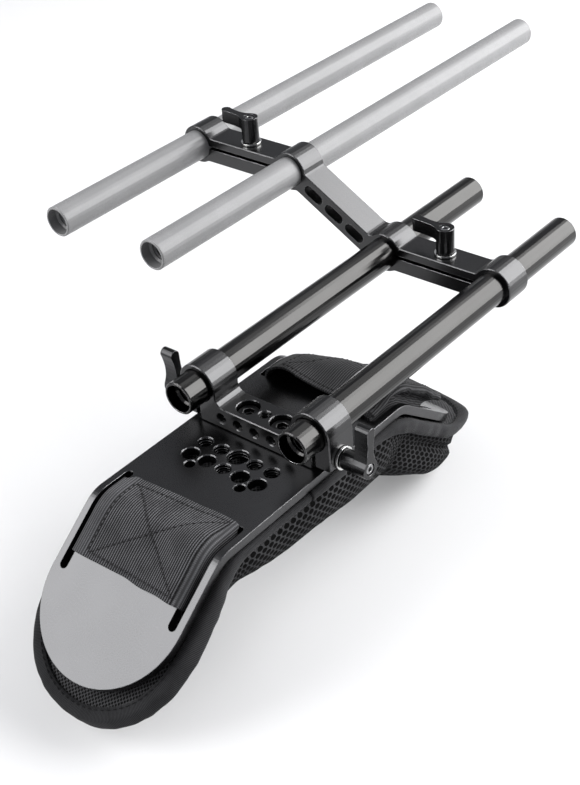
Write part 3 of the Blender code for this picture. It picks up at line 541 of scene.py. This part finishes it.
def cushion_blank():
    """Closed pad form, a little smaller than the pad, for the cloth to swell from."""
    corner = CUSHION_CORNER
    half_w, reach = PAD_HALF_W - CUSHION_INSET, PAD_REACH - CUSHION_INSET
    centre = reach - half_w
    ends = [centre + half_w * math.sin(math.pi / 2 * i / 12) for i in range(12)] + [reach - 0.3]
    steps = sorted({0.0, *[centre * i / 16 for i in range(1, 16)], *ends})
    quarter = [(math.cos(math.pi / 12 * k), math.sin(math.pi / 12 * k)) for k in range(7)]
    bm = bmesh.new()
    rings = []
    for distance in [-s for s in reversed(steps)] + steps[1:]:
        beyond = max(abs(distance) - centre, 0.0)
        front = smooth(60.0, 90.0, -distance)
        half = math.sqrt(max(half_w ** 2 - beyond ** 2, 1.0)) + 1.6 * middle(distance) + 0.8 * front
        top, low = CUSHION_TOP - 0.8 * front, pad_bottom(distance) - 0.6
        edge = min(reach - abs(distance), corner)
        low -= (corner - math.sqrt(corner ** 2 - (corner - edge) ** 2)) * 0.75
        rise, side = min(corner, (low - top) * 0.8), min(corner, half * 0.8)
        section = [(-half, top), (half, top)]
        section += [(half - side + side * c, low - rise + rise * s) for c, s in quarter]
        section += [(side - half - side * c, low - rise + rise * s) for c, s in reversed(quarter)]
        rings.append([bm.verts.new(pad_point(x, distance, depth)) for x, depth in section])
    skin(bm, rings, True)
    bm.faces.new(rings[0])
    bm.faces.new(rings[-1][::-1])
    return bm


def apply_modifiers(obj):
    """Bakes the modifiers into the mesh."""
    graph = bpy.context.evaluated_depsgraph_get()
    mesh = bpy.data.meshes.new_from_object(obj.evaluated_get(graph))
    obj.modifiers.clear()
    old = obj.data
    obj.data = mesh
    bpy.data.meshes.remove(old)


def swell(obj, voxel, pressure, cap, keep_depth):
    """Cloth under pressure, with the sewn upper rim held and each point's travel capped."""
    remesh = obj.modifiers.new("remesh", "REMESH")
    remesh.mode, remesh.voxel_size = "VOXEL", voxel * MM
    apply_modifiers(obj)
    rest = [v.co.copy() for v in obj.data.vertices]
    held = obj.vertex_groups.new(name="held")
    for v in obj.data.vertices:
        distance, depth = unpath(v.co, PAD_R)
        if depth < keep_depth + 3.0 * smooth(60.0, 90.0, -distance):
            held.add([v.index], 1.0, "REPLACE")
    cloth = obj.modifiers.new("cloth", "CLOTH")
    cloth.settings.quality = 6
    cloth.settings.use_pressure = True
    cloth.settings.uniform_pressure_force = pressure
    cloth.settings.vertex_group_mass = "held"
    cloth.settings.effector_weights.gravity = 0.0
    scene = bpy.context.scene
    cloth.point_cache.frame_start, cloth.point_cache.frame_end = 1, CLOTH_FRAMES
    for f in range(1, CLOTH_FRAMES + 1):
        scene.frame_set(f)
    apply_modifiers(obj)
    scene.frame_set(1)
    obj.vertex_groups.clear()
    for v, start in zip(obj.data.vertices, rest):
        move = v.co - start
        if move.length > cap * MM:
            v.co = start + move * (cap * MM / move.length)
    finer = obj.modifiers.new("finer", "SUBSURF")
    finer.levels = finer.render_levels = 1
    apply_modifiers(obj)


def crease(distance, depth):
    """How far the cover is drawn in by its seams and folds, in mm."""
    amount = 0.0
    if distance > 40:
        amount += 2.8 * math.exp(-((depth - 16.0) / 1.7) ** 2) * smooth(70, 100, distance)
    fold = math.exp(-((distance - 66.0) / 4.0) ** 2) + 0.6 * math.exp(-((distance - 52.0) / 3.0) ** 2)
    return amount + 1.2 * fold * smooth(12, 20, depth)


def build_cushion():
    bm = cushion_blank()
    obj = make_object("pad_cushion", bm, [MESH_KNIT, FINE_MESH], "shoulder_mount")
    swell(obj, voxel=3.4, pressure=4.0, cap=3.5, keep_depth=8.0)
    mesh = obj.data
    normals = [n.vector.copy() for n in mesh.vertex_normals]
    for v, n in zip(mesh.vertices, normals):
        distance, depth = unpath(v.co, PAD_R)
        uneven = 0.5 * noise.noise(v.co * 60.0) + 0.25 * noise.noise(v.co * 190.0)
        v.co += n * ((uneven - crease(distance, depth)) * smooth(7.5, 12.0, depth) * MM)
        push = REAR_PUSH * smooth(96.0, 128.0, distance) * smooth(12.0, 17.0, depth)
        push *= smooth(34.0, 26.0, depth)
        v.co += path(v.co.x / MM, distance + push, depth, PAD_R) - path(v.co.x / MM, distance, depth, PAD_R)
        if depth < 12 and distance < 88:
            lower = max(CUSHION_LEAST_DEPTH - depth, 0.0)
            v.co += (path(v.co.x / MM, distance, depth + lower, PAD_R) - v.co)
    mark_cushion(mesh)
    for p in mesh.polygons:
        p.use_smooth = True
        centre = unpath(p.center, PAD_R)
        up = path(0, centre[0], 0, PAD_R) - path(0, centre[0], 1, PAD_R)
        p.material_index = 1 if p.normal.dot(up.normalized()) > 0.6 and centre[1] < 13 else 0
    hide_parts("pad_foam", "pad_mesh_cover", "pad_top_panel")
    return obj


def mark_cushion(mesh):
    """Arc length and depth for the walls, and the plan for the underside and the top."""
    walls, plans = [], []
    for v, n in zip(mesh.vertices, [n.vector.copy() for n in mesh.vertex_normals]):
        x = v.co.x / MM
        distance, depth = unpath(v.co, PAD_R)
        side = 1 if distance >= 0 else -1
        beyond = abs(distance) - PAD_CENTRE
        along = abs(distance)
        if beyond > 0:
            along = PAD_CENTRE + PAD_HALF_W * (math.pi / 2 - math.atan2(abs(x), beyond))
        here = path(0, distance, 0, PAD_R)
        up = (here - path(0, distance, 1, PAD_R)).normalized()
        steep = 1 - abs(n.dot(up))
        walls.append((side * along, depth, smooth(0.30, 0.36, steep)))
        plans.append((x, distance, 0.0))
    store(mesh, "wall_mm", walls)
    store(mesh, "plan_mm", plans)


# the folded binding in section, as (out from the pad's edge, depth)
TAPE_SECTION = [(-4.6, 5.75), (-3.0, 5.3), (-1.2, 5.0), (0.2, 5.05), (1.0, 5.7), (1.3, 7.2), (1.25, 9.0),
                (0.95, 10.4), (0.2, 11.2), (-1.6, 11.5), (-1.6, 10.7), (-0.1, 10.3), (0.4, 8.8), (0.45, 7.2),
                (0.1, 6.3), (-0.5, 5.85), (-1.4, 5.8), (-3.0, 6.05), (-4.6, 6.45)]
OVERLAP_START, OVERLAP_END = -6.0, 15.0
TAPE_STITCH = 3.2  # from one stitch to the next
TAPE_SEAM = -3.4  # out from the pad's edge


def tape_point(a, out, depth):
    """A point on the binding: out is measured outward from the pad's edge."""
    x, d, nx, nd = outline(a)
    tuck = middle(d)
    if out > -2:
        out -= 2.0 * tuck
    depth = 4.9 + (depth - 4.9) * (1 - 0.42 * tuck - 0.30 * smooth(75.0, 112.0, -d))
    splay = smooth(60.0, 100.0, -d) * smooth(-10.0, 20.0, x)
    out += 3.0 * splay * smooth(5.0, 11.0, depth)
    ruffle = noise.noise(Vector((a * 0.06, 3.1, 0.0))) * 0.7
    ruffle += noise.noise(Vector((a * 0.21, 5.3, 0.0))) * 0.35
    pucker = 0.22 * math.sin(2 * math.pi * a / TAPE_STITCH) * smooth(-1.5, -3.6, out)
    wander = 0.7 * noise.noise(Vector((a * 0.05, 9.7, 0.0))) * smooth(-2.0, -4.0, out)
    out += ruffle * smooth(-2.5, 1.0, out) + wander
    return pad_point(x + nx * out, d + nd * out, depth + pucker + 0.35 * ruffle)


def tape_bend(bm, start, end, steps, section, closed):
    rings = []
    for i in range(steps + (0 if closed else 1)):
        a = start + (end - start) * i / steps
        rings.append([bm.verts.new(tape_point(a, o, d)) for o, d in section])
    marks = []
    for i, ring in enumerate(rings):
        a = start + (end - start) * i / steps
        run = 0.0
        for k in range(len(ring)):
            if k:
                run += math.dist(section[k], section[k - 1])
            marks.append((a, run, 0.0))
    skin(bm, rings + ([rings[0]] if closed else []), True)
    if not closed:
        bm.faces.new(rings[0])
        bm.faces.new(rings[-1][::-1])
    return marks


def build_tape():
    bm = bmesh.new()
    marks = tape_bend(bm, 0.0, PERIMETER, steps=560, section=TAPE_SECTION, closed=True)
    obj = make_object("pad_edge_tape", bm, [TAPE], "shoulder_mount")
    store(obj.data, "weave_mm", marks)
    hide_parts("pad_binding")

    bm = bmesh.new()
    over = [(o + (0.75 if o > 0 else 0.0), d + (-0.45 if d < 6 else 0.45 if d > 10.5 else 0))
            for o, d in TAPE_SECTION[:10]]
    over += [(o - 0.4, d + (0.4 if d < 7 else -0.3 if d > 9 else 0)) for o, d in reversed(over)]
    marks = tape_bend(bm, OVERLAP_START, OVERLAP_END, steps=22, section=over, closed=False)
    lap = make_object("tape_overlap", bm, [TAPE], "shoulder_mount")
    store(lap.data, "weave_mm", marks)

    bm = bmesh.new()

    def inner_edge(t):
        a = t * PERIMETER
        at = tape_point(a, TAPE_SEAM, 5.4)
        return at, (tape_point(a, TAPE_SEAM, 4.4) - at).normalized()

    sew(bm, inner_edge, int(PERIMETER / TAPE_STITCH), length=2.1, radius=0.24, lift=0.10)
    make_object("tape_stitches", bm, [THREAD], "shoulder_mount")


# ------------------------------------------------------------ straps

FRONT_START, FRONT_END = 41.4, reach_of(24.2, PLATE_R)
FRONT_STEPS, REAR_STEPS = 40, 52
STRAP_STITCH = 2.4  # from one stitch to the next
# height of the rear strap over the plate at these distances (rows) and places across (columns)
REAR_ROWS = [41.4, 60.0, 75.0, reach_of(36.0, PLATE_R)]
REAR_X = [-28.2, -26.0, -21.0, -17.0, -13.5, -10.0, -5.0, 0.0, 7.0, 13.0, 20.0, 26.0, 31.0]
REAR_HEIGHT = [
    [0.3, 3.2, 6.0, 7.0, 6.6, 5.6, 4.8, 4.1, 3.6, 3.2, 2.8, 2.4, 2.0],
    [0.3, 2.0, 3.4, 4.2, 5.0, 5.8, 6.8, 7.2, 7.2, 7.3, 7.2, 7.2, 6.8],
    [0.3, 2.0, 3.2, 4.2, 5.0, 5.8, 6.8, 7.2, 7.4, 7.6, 7.8, 8.0, 7.8],
    [0.3, 1.2, 2.0, 2.6, 3.2, 3.8, 4.6, 5.0, 5.4, 5.8, 6.2, 6.4, 6.0],
]


def between(table, value):
    """Index and share of a value in a rising list."""
    for i in range(len(table) - 1):
        if value <= table[i + 1] or i == len(table) - 2:
            t = (value - table[i]) / (table[i + 1] - table[i])
            return i, min(max(t, 0.0), 1.0)
    return 0, 0.0


def rear_height(x, distance):
    """Height of the arched rear strap over the plate, from its ribs."""
    i, t = between(REAR_X, x)
    j, s = between(REAR_ROWS, distance)
    t, s = t * t * (3 - 2 * t) * 0.5 + t * 0.5, s * s * (3 - 2 * s)
    low = REAR_HEIGHT[j][i] * (1 - t) + REAR_HEIGHT[j][i + 1] * t
    high = REAR_HEIGHT[j + 1][i] * (1 - t) + REAR_HEIGHT[j + 1][i + 1] * t
    return low * (1 - s) + high * s


def strap_section(step=1.1):
    """Centreline across the plate: tail, slot, over the top, slot, tail, as (x, depth, run)."""
    tail, under, over, r = 13.0, PLATE_T + 1.0, -1.0, 0.9
    corners = [(-tail, under), (-SLOT_X, under), (-SLOT_X, over),
               (SLOT_X, over), (SLOT_X, under), (tail, under)]
    points = []
    for i, (x, d) in enumerate(corners):
        if i in (0, len(corners) - 1):
            points.append((x, d))
            continue
        before, after = Vector(corners[i - 1]), Vector(corners[i + 1])
        here = Vector((x, d))
        a, b = here + (before - here).normalized() * r, here + (after - here).normalized() * r
        for k in range(5):
            t = k / 4
            points.append(tuple(a * (1 - t) ** 2 + here * 2 * t * (1 - t) + b * t ** 2))
    out, run = [], 0.0
    for (x0, d0), (x1, d1) in zip(points, points[1:]):
        length = math.dist((x0, d0), (x1, d1))
        count = max(int(length / step), 1)
        for k in range(count):
            t = k / count
            out.append((x0 + (x1 - x0) * t, d0 + (d1 - d0) * t, run + length * t))
        run += length
    out.append((*points[-1], run))
    return out


def front_surface(x, distance, depth):
    lift = 0.0
    if depth < 0:
        lift = 0.25 + 0.35 * noise.noise(Vector((x * 0.07, distance * 0.09, 1.0)))
        lift += 0.5 * smooth(-21.0, -22.5, x)
        lift += 2.4 * smooth(6.0, 25.0, x) * smooth(FRONT_START - 2, FRONT_START + 16, distance)
    free = smooth(SLOT_X, SLOT_X - (5 if x < 0 else 2), abs(x))
    return path(x, -distance, depth - max(lift, 0.0) * free, PLATE_R)


def front_reach(x, depth):
    """Where the strap starts and ends over the plate at x: its corners draw in towards the slots."""
    wave = 0.5 * noise.noise(Vector((x * 0.08, 4.4, 0.0)))
    start = FRONT_START - 0.6 + 2.0 * smooth(20.0, -22.0, x) + 3.0 * smooth(-22.0, -27.0, x) + wave
    if depth > 0:
        return FRONT_START + (7.0 if x < 0 else 0.8), FRONT_END
    return start, FRONT_END + 2.0 * wave


def stitch_line(bm, surface, x0, d0, x1, d1):
    """Sewing over a strap, from one place to another in (x, distance)."""
    def point(t):
        x, d = x0 + (x1 - x0) * t, d0 + (d1 - d0) * t
        at = surface(x, d, -1.0)
        return at, (surface(x, d, -2.0) - at).normalized()
    count = max(int(math.dist((x0, d0), (x1, d1)) / STRAP_STITCH), 2)
    sew(bm, point, count, length=1.7, radius=0.22, lift=STRAP_T / 2 - 0.1)


def thicken(obj):
    """Gives a strap its thickness and soft edges."""
    solid = obj.modifiers.new("thickness", "SOLIDIFY")
    solid.thickness, solid.offset = WEBBING_T * MM, 0.0
    soft = obj.modifiers.new("soft_edge", "BEVEL")
    soft.width, soft.segments, soft.limit_method = 0.35 * MM, 2, "ANGLE"


def strap_piece(side, surface, reach, section, lines, steps):
    """The webbing and its sewing. lines are in (x, distance); the weave runs on through the whole section."""
    offset = next(run - x for x, depth, run in section if depth < 0 and x > 0)
    seams = [(x0 + offset, d0, x1 + offset, d1) for x0, d0, x1, d1 in lines]
    cloth = ribbed_cloth(side + "_ribbed_webbing", (0.0015, 0.0015, 0.0018), (0.142, 0.142, 0.150),
                         RIB, WEFT, depth=0.30, edges=True, sheen=0.03, seams=seams)
    bm = bmesh.new()
    rows, marks = [], []
    for i in range(steps + 1):
        row = []
        for x, depth, run in section:
            start, end = reach(x, depth)
            distance = start + (end - start) * i / steps
            band = (smooth(-21.0, -22.5, x) + smooth(26.2, 27.2, x)) if depth < 1 else 0.0
            row.append(bm.verts.new(surface(x, distance, depth)))
            marks.append((run, distance, band))
        rows.append(row)
    skin(bm, rows, False)
    obj = make_object(side + "_strap_webbing", bm, [cloth], "shoulder_mount")
    store(obj.data, "weave_mm", marks)
    thicken(obj)
    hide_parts(side + "_strap")
    bm = bmesh.new()
    for line in lines:
        stitch_line(bm, surface, *line)
    make_object(side + "_strap_stitches", bm, [THREAD], "shoulder_mount")
    return obj


def build_front_strap():
    section = strap_section()
    near, far = FRONT_START + 3.6, FRONT_END - 2.5
    lines = [(-19.5, near + 1.0, 26.0, far), (-19.5, far, 26.0, near - 1.5), (-21.0, near + 1.5, -21.0, far),
             (26.5, near - 2.0, 26.5, far), (-21.0, near + 1.5, 26.5, near - 2.0), (-21.0, far, 26.5, far)]
    obj = strap_piece("front", front_surface, front_reach, section, lines, FRONT_STEPS)


# down the gathered right side, as (x, depth, share of the strap's height over the plate)
REAR_SIDE = [(29.0, -1.0, 1.0), (30.6, -0.6, 0.95), (31.0, -0.2, 0.86), (30.0, 0.0, 0.76), (28.0, 0.0, 0.68),
             (26.3, 0.0, 0.55), (25.9, 0.0, 0.40), (26.8, 0.0, 0.24), (27.7, 0.0, 0.10), (28.2, 0.6, 0.0),
             (28.2, 2.4, 0.0), (28.2, 4.2, 0.0), (27.7, 4.95, 0.0)]


def rear_section():
    """As strap_section, but at the right the cloth turns under its hem and gathers before the slot."""
    over = [(x, depth, 1.0 if depth < 0 else 0.0) for x, depth, _ in strap_section()
            if x < 27.4 or depth > 4.9]
    last = max(i for i, (x, depth, share) in enumerate(over) if depth < 0)
    nodes = over[:last + 1] + REAR_SIDE + [n for n in over[last + 1:] if n[0] < 27.4]
    out, run = [], 0.0
    for i, (x, depth, share) in enumerate(nodes):
        if i:
            px, pd, ps = nodes[i - 1]
            if x > 26:
                run += math.hypot(x - px, (depth - 9 * share) - (pd - 9 * ps))
            else:
                run += math.dist((x, depth), (px, pd))
        out.append((x, depth, share, run))
    return out


def rear_surface(x, distance, depth, share=1.0):
    height = rear_height(x, distance) * share
    if x > 25 and 0 < share < 0.9:
        x += 1.3 * noise.noise(Vector((distance * 0.22, share * 2.0, 7.7)))
        height += 0.8 * noise.noise(Vector((distance * 0.3, share * 3.0, 2.2)))
    if share:
        height += 0.35 * noise.noise(Vector((x * 0.09, distance * 0.11, 3.0)))
    return path(x, distance, depth - max(height, 0.0), PLATE_R)


def build_rear_strap():
    section = rear_section()
    offset = next(run - x for x, depth, share, run in section if share and x > 0)
    near, far = FRONT_START + 2.0, REAR_ROWS[-1] - 2.5
    lines = [(-20.0, near, 28.0, near), (-20.0, near, -3.0, 62.0), (-3.0, 62.0, 28.0, 56.0),
             (-20.0, near, -20.0, far), (-20.0, far, 29.0, far), (29.0, near, 29.0, far)]
    seams = [(x0 + offset, d0, x1 + offset, d1) for x0, d0, x1, d1 in lines]
    cloth = ribbed_cloth("rear_ribbed_webbing", (0.010, 0.010, 0.0105), (0.056, 0.056, 0.059),
                         RIB, WEFT, depth=0.18, sheen=0.03, seams=seams)
    bm = bmesh.new()
    rows, marks = [], []
    for i in range(REAR_STEPS + 1):
        row = []
        for x, depth, share, run in section:
            end = REAR_ROWS[-1] if share > 0.5 else FRONT_END + (share * 2) * (REAR_ROWS[-1] - FRONT_END)
            distance = FRONT_START + (end - FRONT_START) * i / REAR_STEPS
            row.append(bm.verts.new(rear_surface(x, distance, depth, share)))
            marks.append((run, distance, 0.0))
        rows.append(row)
    skin(bm, rows, False)
    obj = make_object("rear_strap_webbing", bm, [cloth], "shoulder_mount")
    store(obj.data, "weave_mm", marks)
    thicken(obj)
    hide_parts("rear_strap")
    bm = bmesh.new()
    for line in lines:
        stitch_line(bm, rear_surface, *line)
    make_object("rear_strap_stitches", bm, [THREAD], "shoulder_mount")


# ------------------------------------------------------------ threads and springs

def helix(bm, origin, axis, radius, inward, pitch, low, high):
    """A ridge of thread on the wall of a hole."""
    axis = Vector(axis).normalized()
    side = axis.orthogonal().normalized()
    other = axis.cross(side)
    steps = max(int((high - low) / pitch * 20), 8)
    rings = []
    for i in range(steps + 1):
        h = low + (high - low) * i / steps
        a = 2 * math.pi * (h - low) / pitch
        taper = min(1.0, i / 6, (steps - i) / 6)
        ring = []
        for r, up in ((radius + 0.05, -0.36), (radius - inward * taper, 0.0), (radius + 0.05, 0.36)):
            ring.append(bm.verts.new((Vector(origin) + side * (r * math.cos(a)) + other * (r * math.sin(a))
                                      + axis * (h + up * pitch)) * MM))
        rings.append(ring)
    skin(bm, rings, True)
    bm.faces.new(rings[0])
    bm.faces.new(rings[-1][::-1])


QUARTER_INCH = (3.2, 1.27)  # radius of the hole and pitch of the thread, in mm
THREE_EIGHTHS = (4.6, 1.5875)
SMALL_THREAD = (0.45, 0.8)  # height of the ridge and pitch, in mm
ROD_THREAD = (5.5, 0.5, 1.75)  # radius of the hole, height of the ridge and pitch, in mm
ROD_THREAD_START, ROD_THREAD_END = 6.4, 17.0  # from the rod's end
PLATE_THREAD_HEIGHT = 0.55
CLAMP_HOLE_R, CLAMP_TOP_HOLE_R = 2.3, 2.5


def build_plate_threads():
    """A 1/4 inch or 3/8 inch thread in each tapped hole that the record lists on the plate."""
    bm = bmesh.new()
    for opening in frame["record"]["physics"]["openings"]:
        if not opening["name"].startswith("plate_"):
            continue
        if opening["holds"] not in ("a 1/4 inch screw", "a 3/8 inch screw"):
            continue
        low, high = opening["box_m"]
        x, y = (low[0] + high[0]) / 2 / MM, (low[1] + high[1]) / 2 / MM
        radius, pitch = QUARTER_INCH if "1/4" in opening["holds"] else THREE_EIGHTHS
        helix(bm, (x, y, -PLATE_T), (0, 0, 1), radius, PLATE_THREAD_HEIGHT, pitch,
              low=0.5, high=PLATE_T - 0.5)
    make_object("plate_threads", bm, [MATERIALS["lever"]], "shoulder_mount")


def build_clamp_threads():
    """The row of tapped holes in the clamp's near face, and the one in the middle of its top."""
    bm = bmesh.new()
    for step in (-2, -1, 0, 1, 2):
        place = (CLAMP_HOLE_PITCH * step, CLAMP_NEAR_Y, CLAMP_HOLE_Z)
        helix(bm, place, (0, 1, 0), CLAMP_HOLE_R, *SMALL_THREAD, low=0.4, high=3.2)
    place = (0, CLAMP_MID_Y, CLAMP_TOP)
    helix(bm, place, (0, 0, -1), CLAMP_TOP_HOLE_R, *SMALL_THREAD, low=0.4, high=7.0)
    make_object("clamp_threads", bm, [MATERIALS["lever"]], "shoulder_mount")


def build_rod_threads():
    for name in ("lower_left_rod", "lower_right_rod", "upper_left_rod", "upper_right_rod"):
        low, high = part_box(name)
        x, z = (low.x + high.x) / 2 / MM, (low.z + high.z) / 2 / MM
        bm = bmesh.new()
        for end, way in ((low.y / MM, 1), (high.y / MM, -1)):
            helix(bm, (x, end, z), (0, way, 0), *ROD_THREAD, ROD_THREAD_START, ROD_THREAD_END)
        finish = "black_rod" if name.startswith("lower") else "silver_rod"
        make_object(name + "_threads", bm, [MATERIALS[finish]], name)


SPRING_WIRE_R, SPRING_R, SPRING_TURNS, SPRING_STEPS = 0.22, 2.0, 4.5, 130


def build_spring(lever):
    """Round wire return spring, which moves with the lever's screw."""
    low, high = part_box(lever + "_spring")
    centre, size = (low + high) / 2, high - low
    if lever[:5] in ("lower", "upper"):
        axis = Vector((0, 0, 1))
    else:
        axis = Vector((1 if centre.x > 0 else -1, 0, 0))
    side = Vector((0, 1, 0))
    other = axis.cross(side)
    length = abs(size.dot(axis))
    wire, radius = SPRING_WIRE_R * MM, SPRING_R * MM
    bm = bmesh.new()
    rings = []
    for i in range(SPRING_STEPS + 1):
        t = i / SPRING_STEPS
        settled = min(max((t - 0.09) / 0.82, 0.0), 1.0)  # both ends are ground flat
        a = 2 * math.pi * SPRING_TURNS * t
        radial = side * math.cos(a) + other * math.sin(a)
        core = centre + axis * ((settled - 0.5) * (length - 2 * wire)) + radial * radius
        rings.append([bm.verts.new(core + radial * (wire * math.cos(b)) + axis * (wire * math.sin(b)))
                      for b in (math.pi / 3 * k for k in range(6))])
    skin(bm, rings, True)
    bm.faces.new(rings[0])
    bm.faces.new(rings[-1][::-1])
    obj = make_object(lever + "_spring_wire", bm, [MATERIALS["steel"]], lever + "_screw")
    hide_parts(lever + "_spring")
    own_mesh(obj)


# ------------------------------------------------------------ stage, light, camera

def look(obj, target):
    obj.rotation_mode = "QUATERNION"
    obj.rotation_quaternion = (target - obj.location).to_track_quat("-Z", "Y")


def softbox(name, where, target, width, height, radiance):
    light = bpy.data.lights.new(name, "AREA")
    light.shape, light.size, light.size_y = "RECTANGLE", width, height
    light.energy = radiance * math.pi * width * height
    obj = bpy.data.objects.new(name, light)
    obj.location = where
    bpy.context.scene.collection.objects.link(obj)
    look(obj, Vector(target))
    obj.visible_camera = False


FLOOR_GAP = 0.3  # mm
FLOOR_HALF = 6.0  # m
FLOOR_TONES = (0.55, 0.55, 0.555), (0.57, 0.57, 0.575)
FLOOR_GLOW = 0.15


def build_floor(level):
    bm = bmesh.new()
    bmesh.ops.create_grid(bm, x_segments=2, y_segments=2, size=FLOOR_HALF)
    mesh = bpy.data.meshes.new("floor")
    bm.to_mesh(mesh)
    bm.free()
    mat, tree, shader = start_material("white_sweep", Roughness=0.9, Specular_IOR_Level=0.2)
    tone = grains(tree, object_vector(tree), 1.5)
    tree.links.new(mix(tree, tone, *FLOOR_TONES), shader.inputs["Base Color"])
    shader.inputs["Emission Color"].default_value = (1.0, 1.0, 1.0, 1.0)
    shader.inputs["Emission Strength"].default_value = FLOOR_GLOW
    mesh.materials.append(mat)
    floor = bpy.data.objects.new("floor", mesh)
    floor.location = (0, 0, level)
    bpy.context.scene.collection.objects.link(floor)
    floor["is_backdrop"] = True


SKY_COLOR, SKY_STRENGTH = (0.92, 0.94, 1.0, 1.0), 0.34
LIGHTS = [  # name, place, target, width, height, radiance
    ("key_front_left", (-0.72, -0.80, 0.68), (0, -0.08, -0.03), 1.0, 1.0, 6.0),
    ("back_right", (0.66, 0.98, 0.62), (0, 0.1, 0.02), 1.5, 1.25, 8.5),
    ("back_top", (-0.28, 0.85, 1.05), (0, 0.1, 0.02), 0.7, 0.7, 1.2),
]


def light_scene():
    world = bpy.data.worlds.new("studio")
    bpy.context.scene.world = world
    world.use_nodes = True
    back = world.node_tree.nodes["Background"]
    back.inputs["Color"].default_value = SKY_COLOR
    back.inputs["Strength"].default_value = SKY_STRENGTH
    for light in LIGHTS:
        softbox(*light)


CAMERA_TURN, CAMERA_TILT, CAMERA_ROLL = 42.58, 35.3, -5.15  # degrees
CAMERA_PLACE = (0.30905, -0.31101, 0.33507)
SENSOR = 36.0  # mm, along the picture's longer side
FOCAL_PIXELS, PICTURE_PIXELS = 1347.76, 785  # the focal length as solved, and that longer side
LENS = SENSOR * FOCAL_PIXELS / PICTURE_PIXELS  # mm


def aim_camera():
    data = bpy.data.cameras.new("camera")
    camera = bpy.data.objects.new("camera", data)
    bpy.context.scene.collection.objects.link(camera)
    turn, tilt, roll = (math.radians(a) for a in (CAMERA_TURN, CAMERA_TILT, CAMERA_ROLL))
    back = Vector((math.sin(turn) * math.cos(tilt), -math.cos(turn) * math.cos(tilt), math.sin(tilt)))
    right = Vector((math.cos(turn), math.sin(turn), 0))
    up = back.cross(right)
    across = right * math.cos(roll) + up * math.sin(roll)
    over = -right * math.sin(roll) + up * math.cos(roll)
    place = Matrix((across, over, back)).transposed().to_4x4()
    place.translation = CAMERA_PLACE
    camera.matrix_world = place
    data.sensor_width, data.sensor_fit = SENSOR, "AUTO"
    data.lens = LENS
    data.clip_start = 0.01
    bpy.context.scene.camera = camera


dress_frame()
build_cushion()
build_tape()
build_front_strap()
build_rear_strap()
build_plate_threads()
build_clamp_threads()
build_rod_threads()
for side in ("left_lever", "right_lever", "lower_lever", "upper_lever"):
    build_spring(side)
bpy.context.view_layer.update()
build_floor(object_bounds()[0].z - FLOOR_GAP * MM)
light_scene()
aim_camera()
bpy.context.scene.view_settings.view_transform = "Standard"
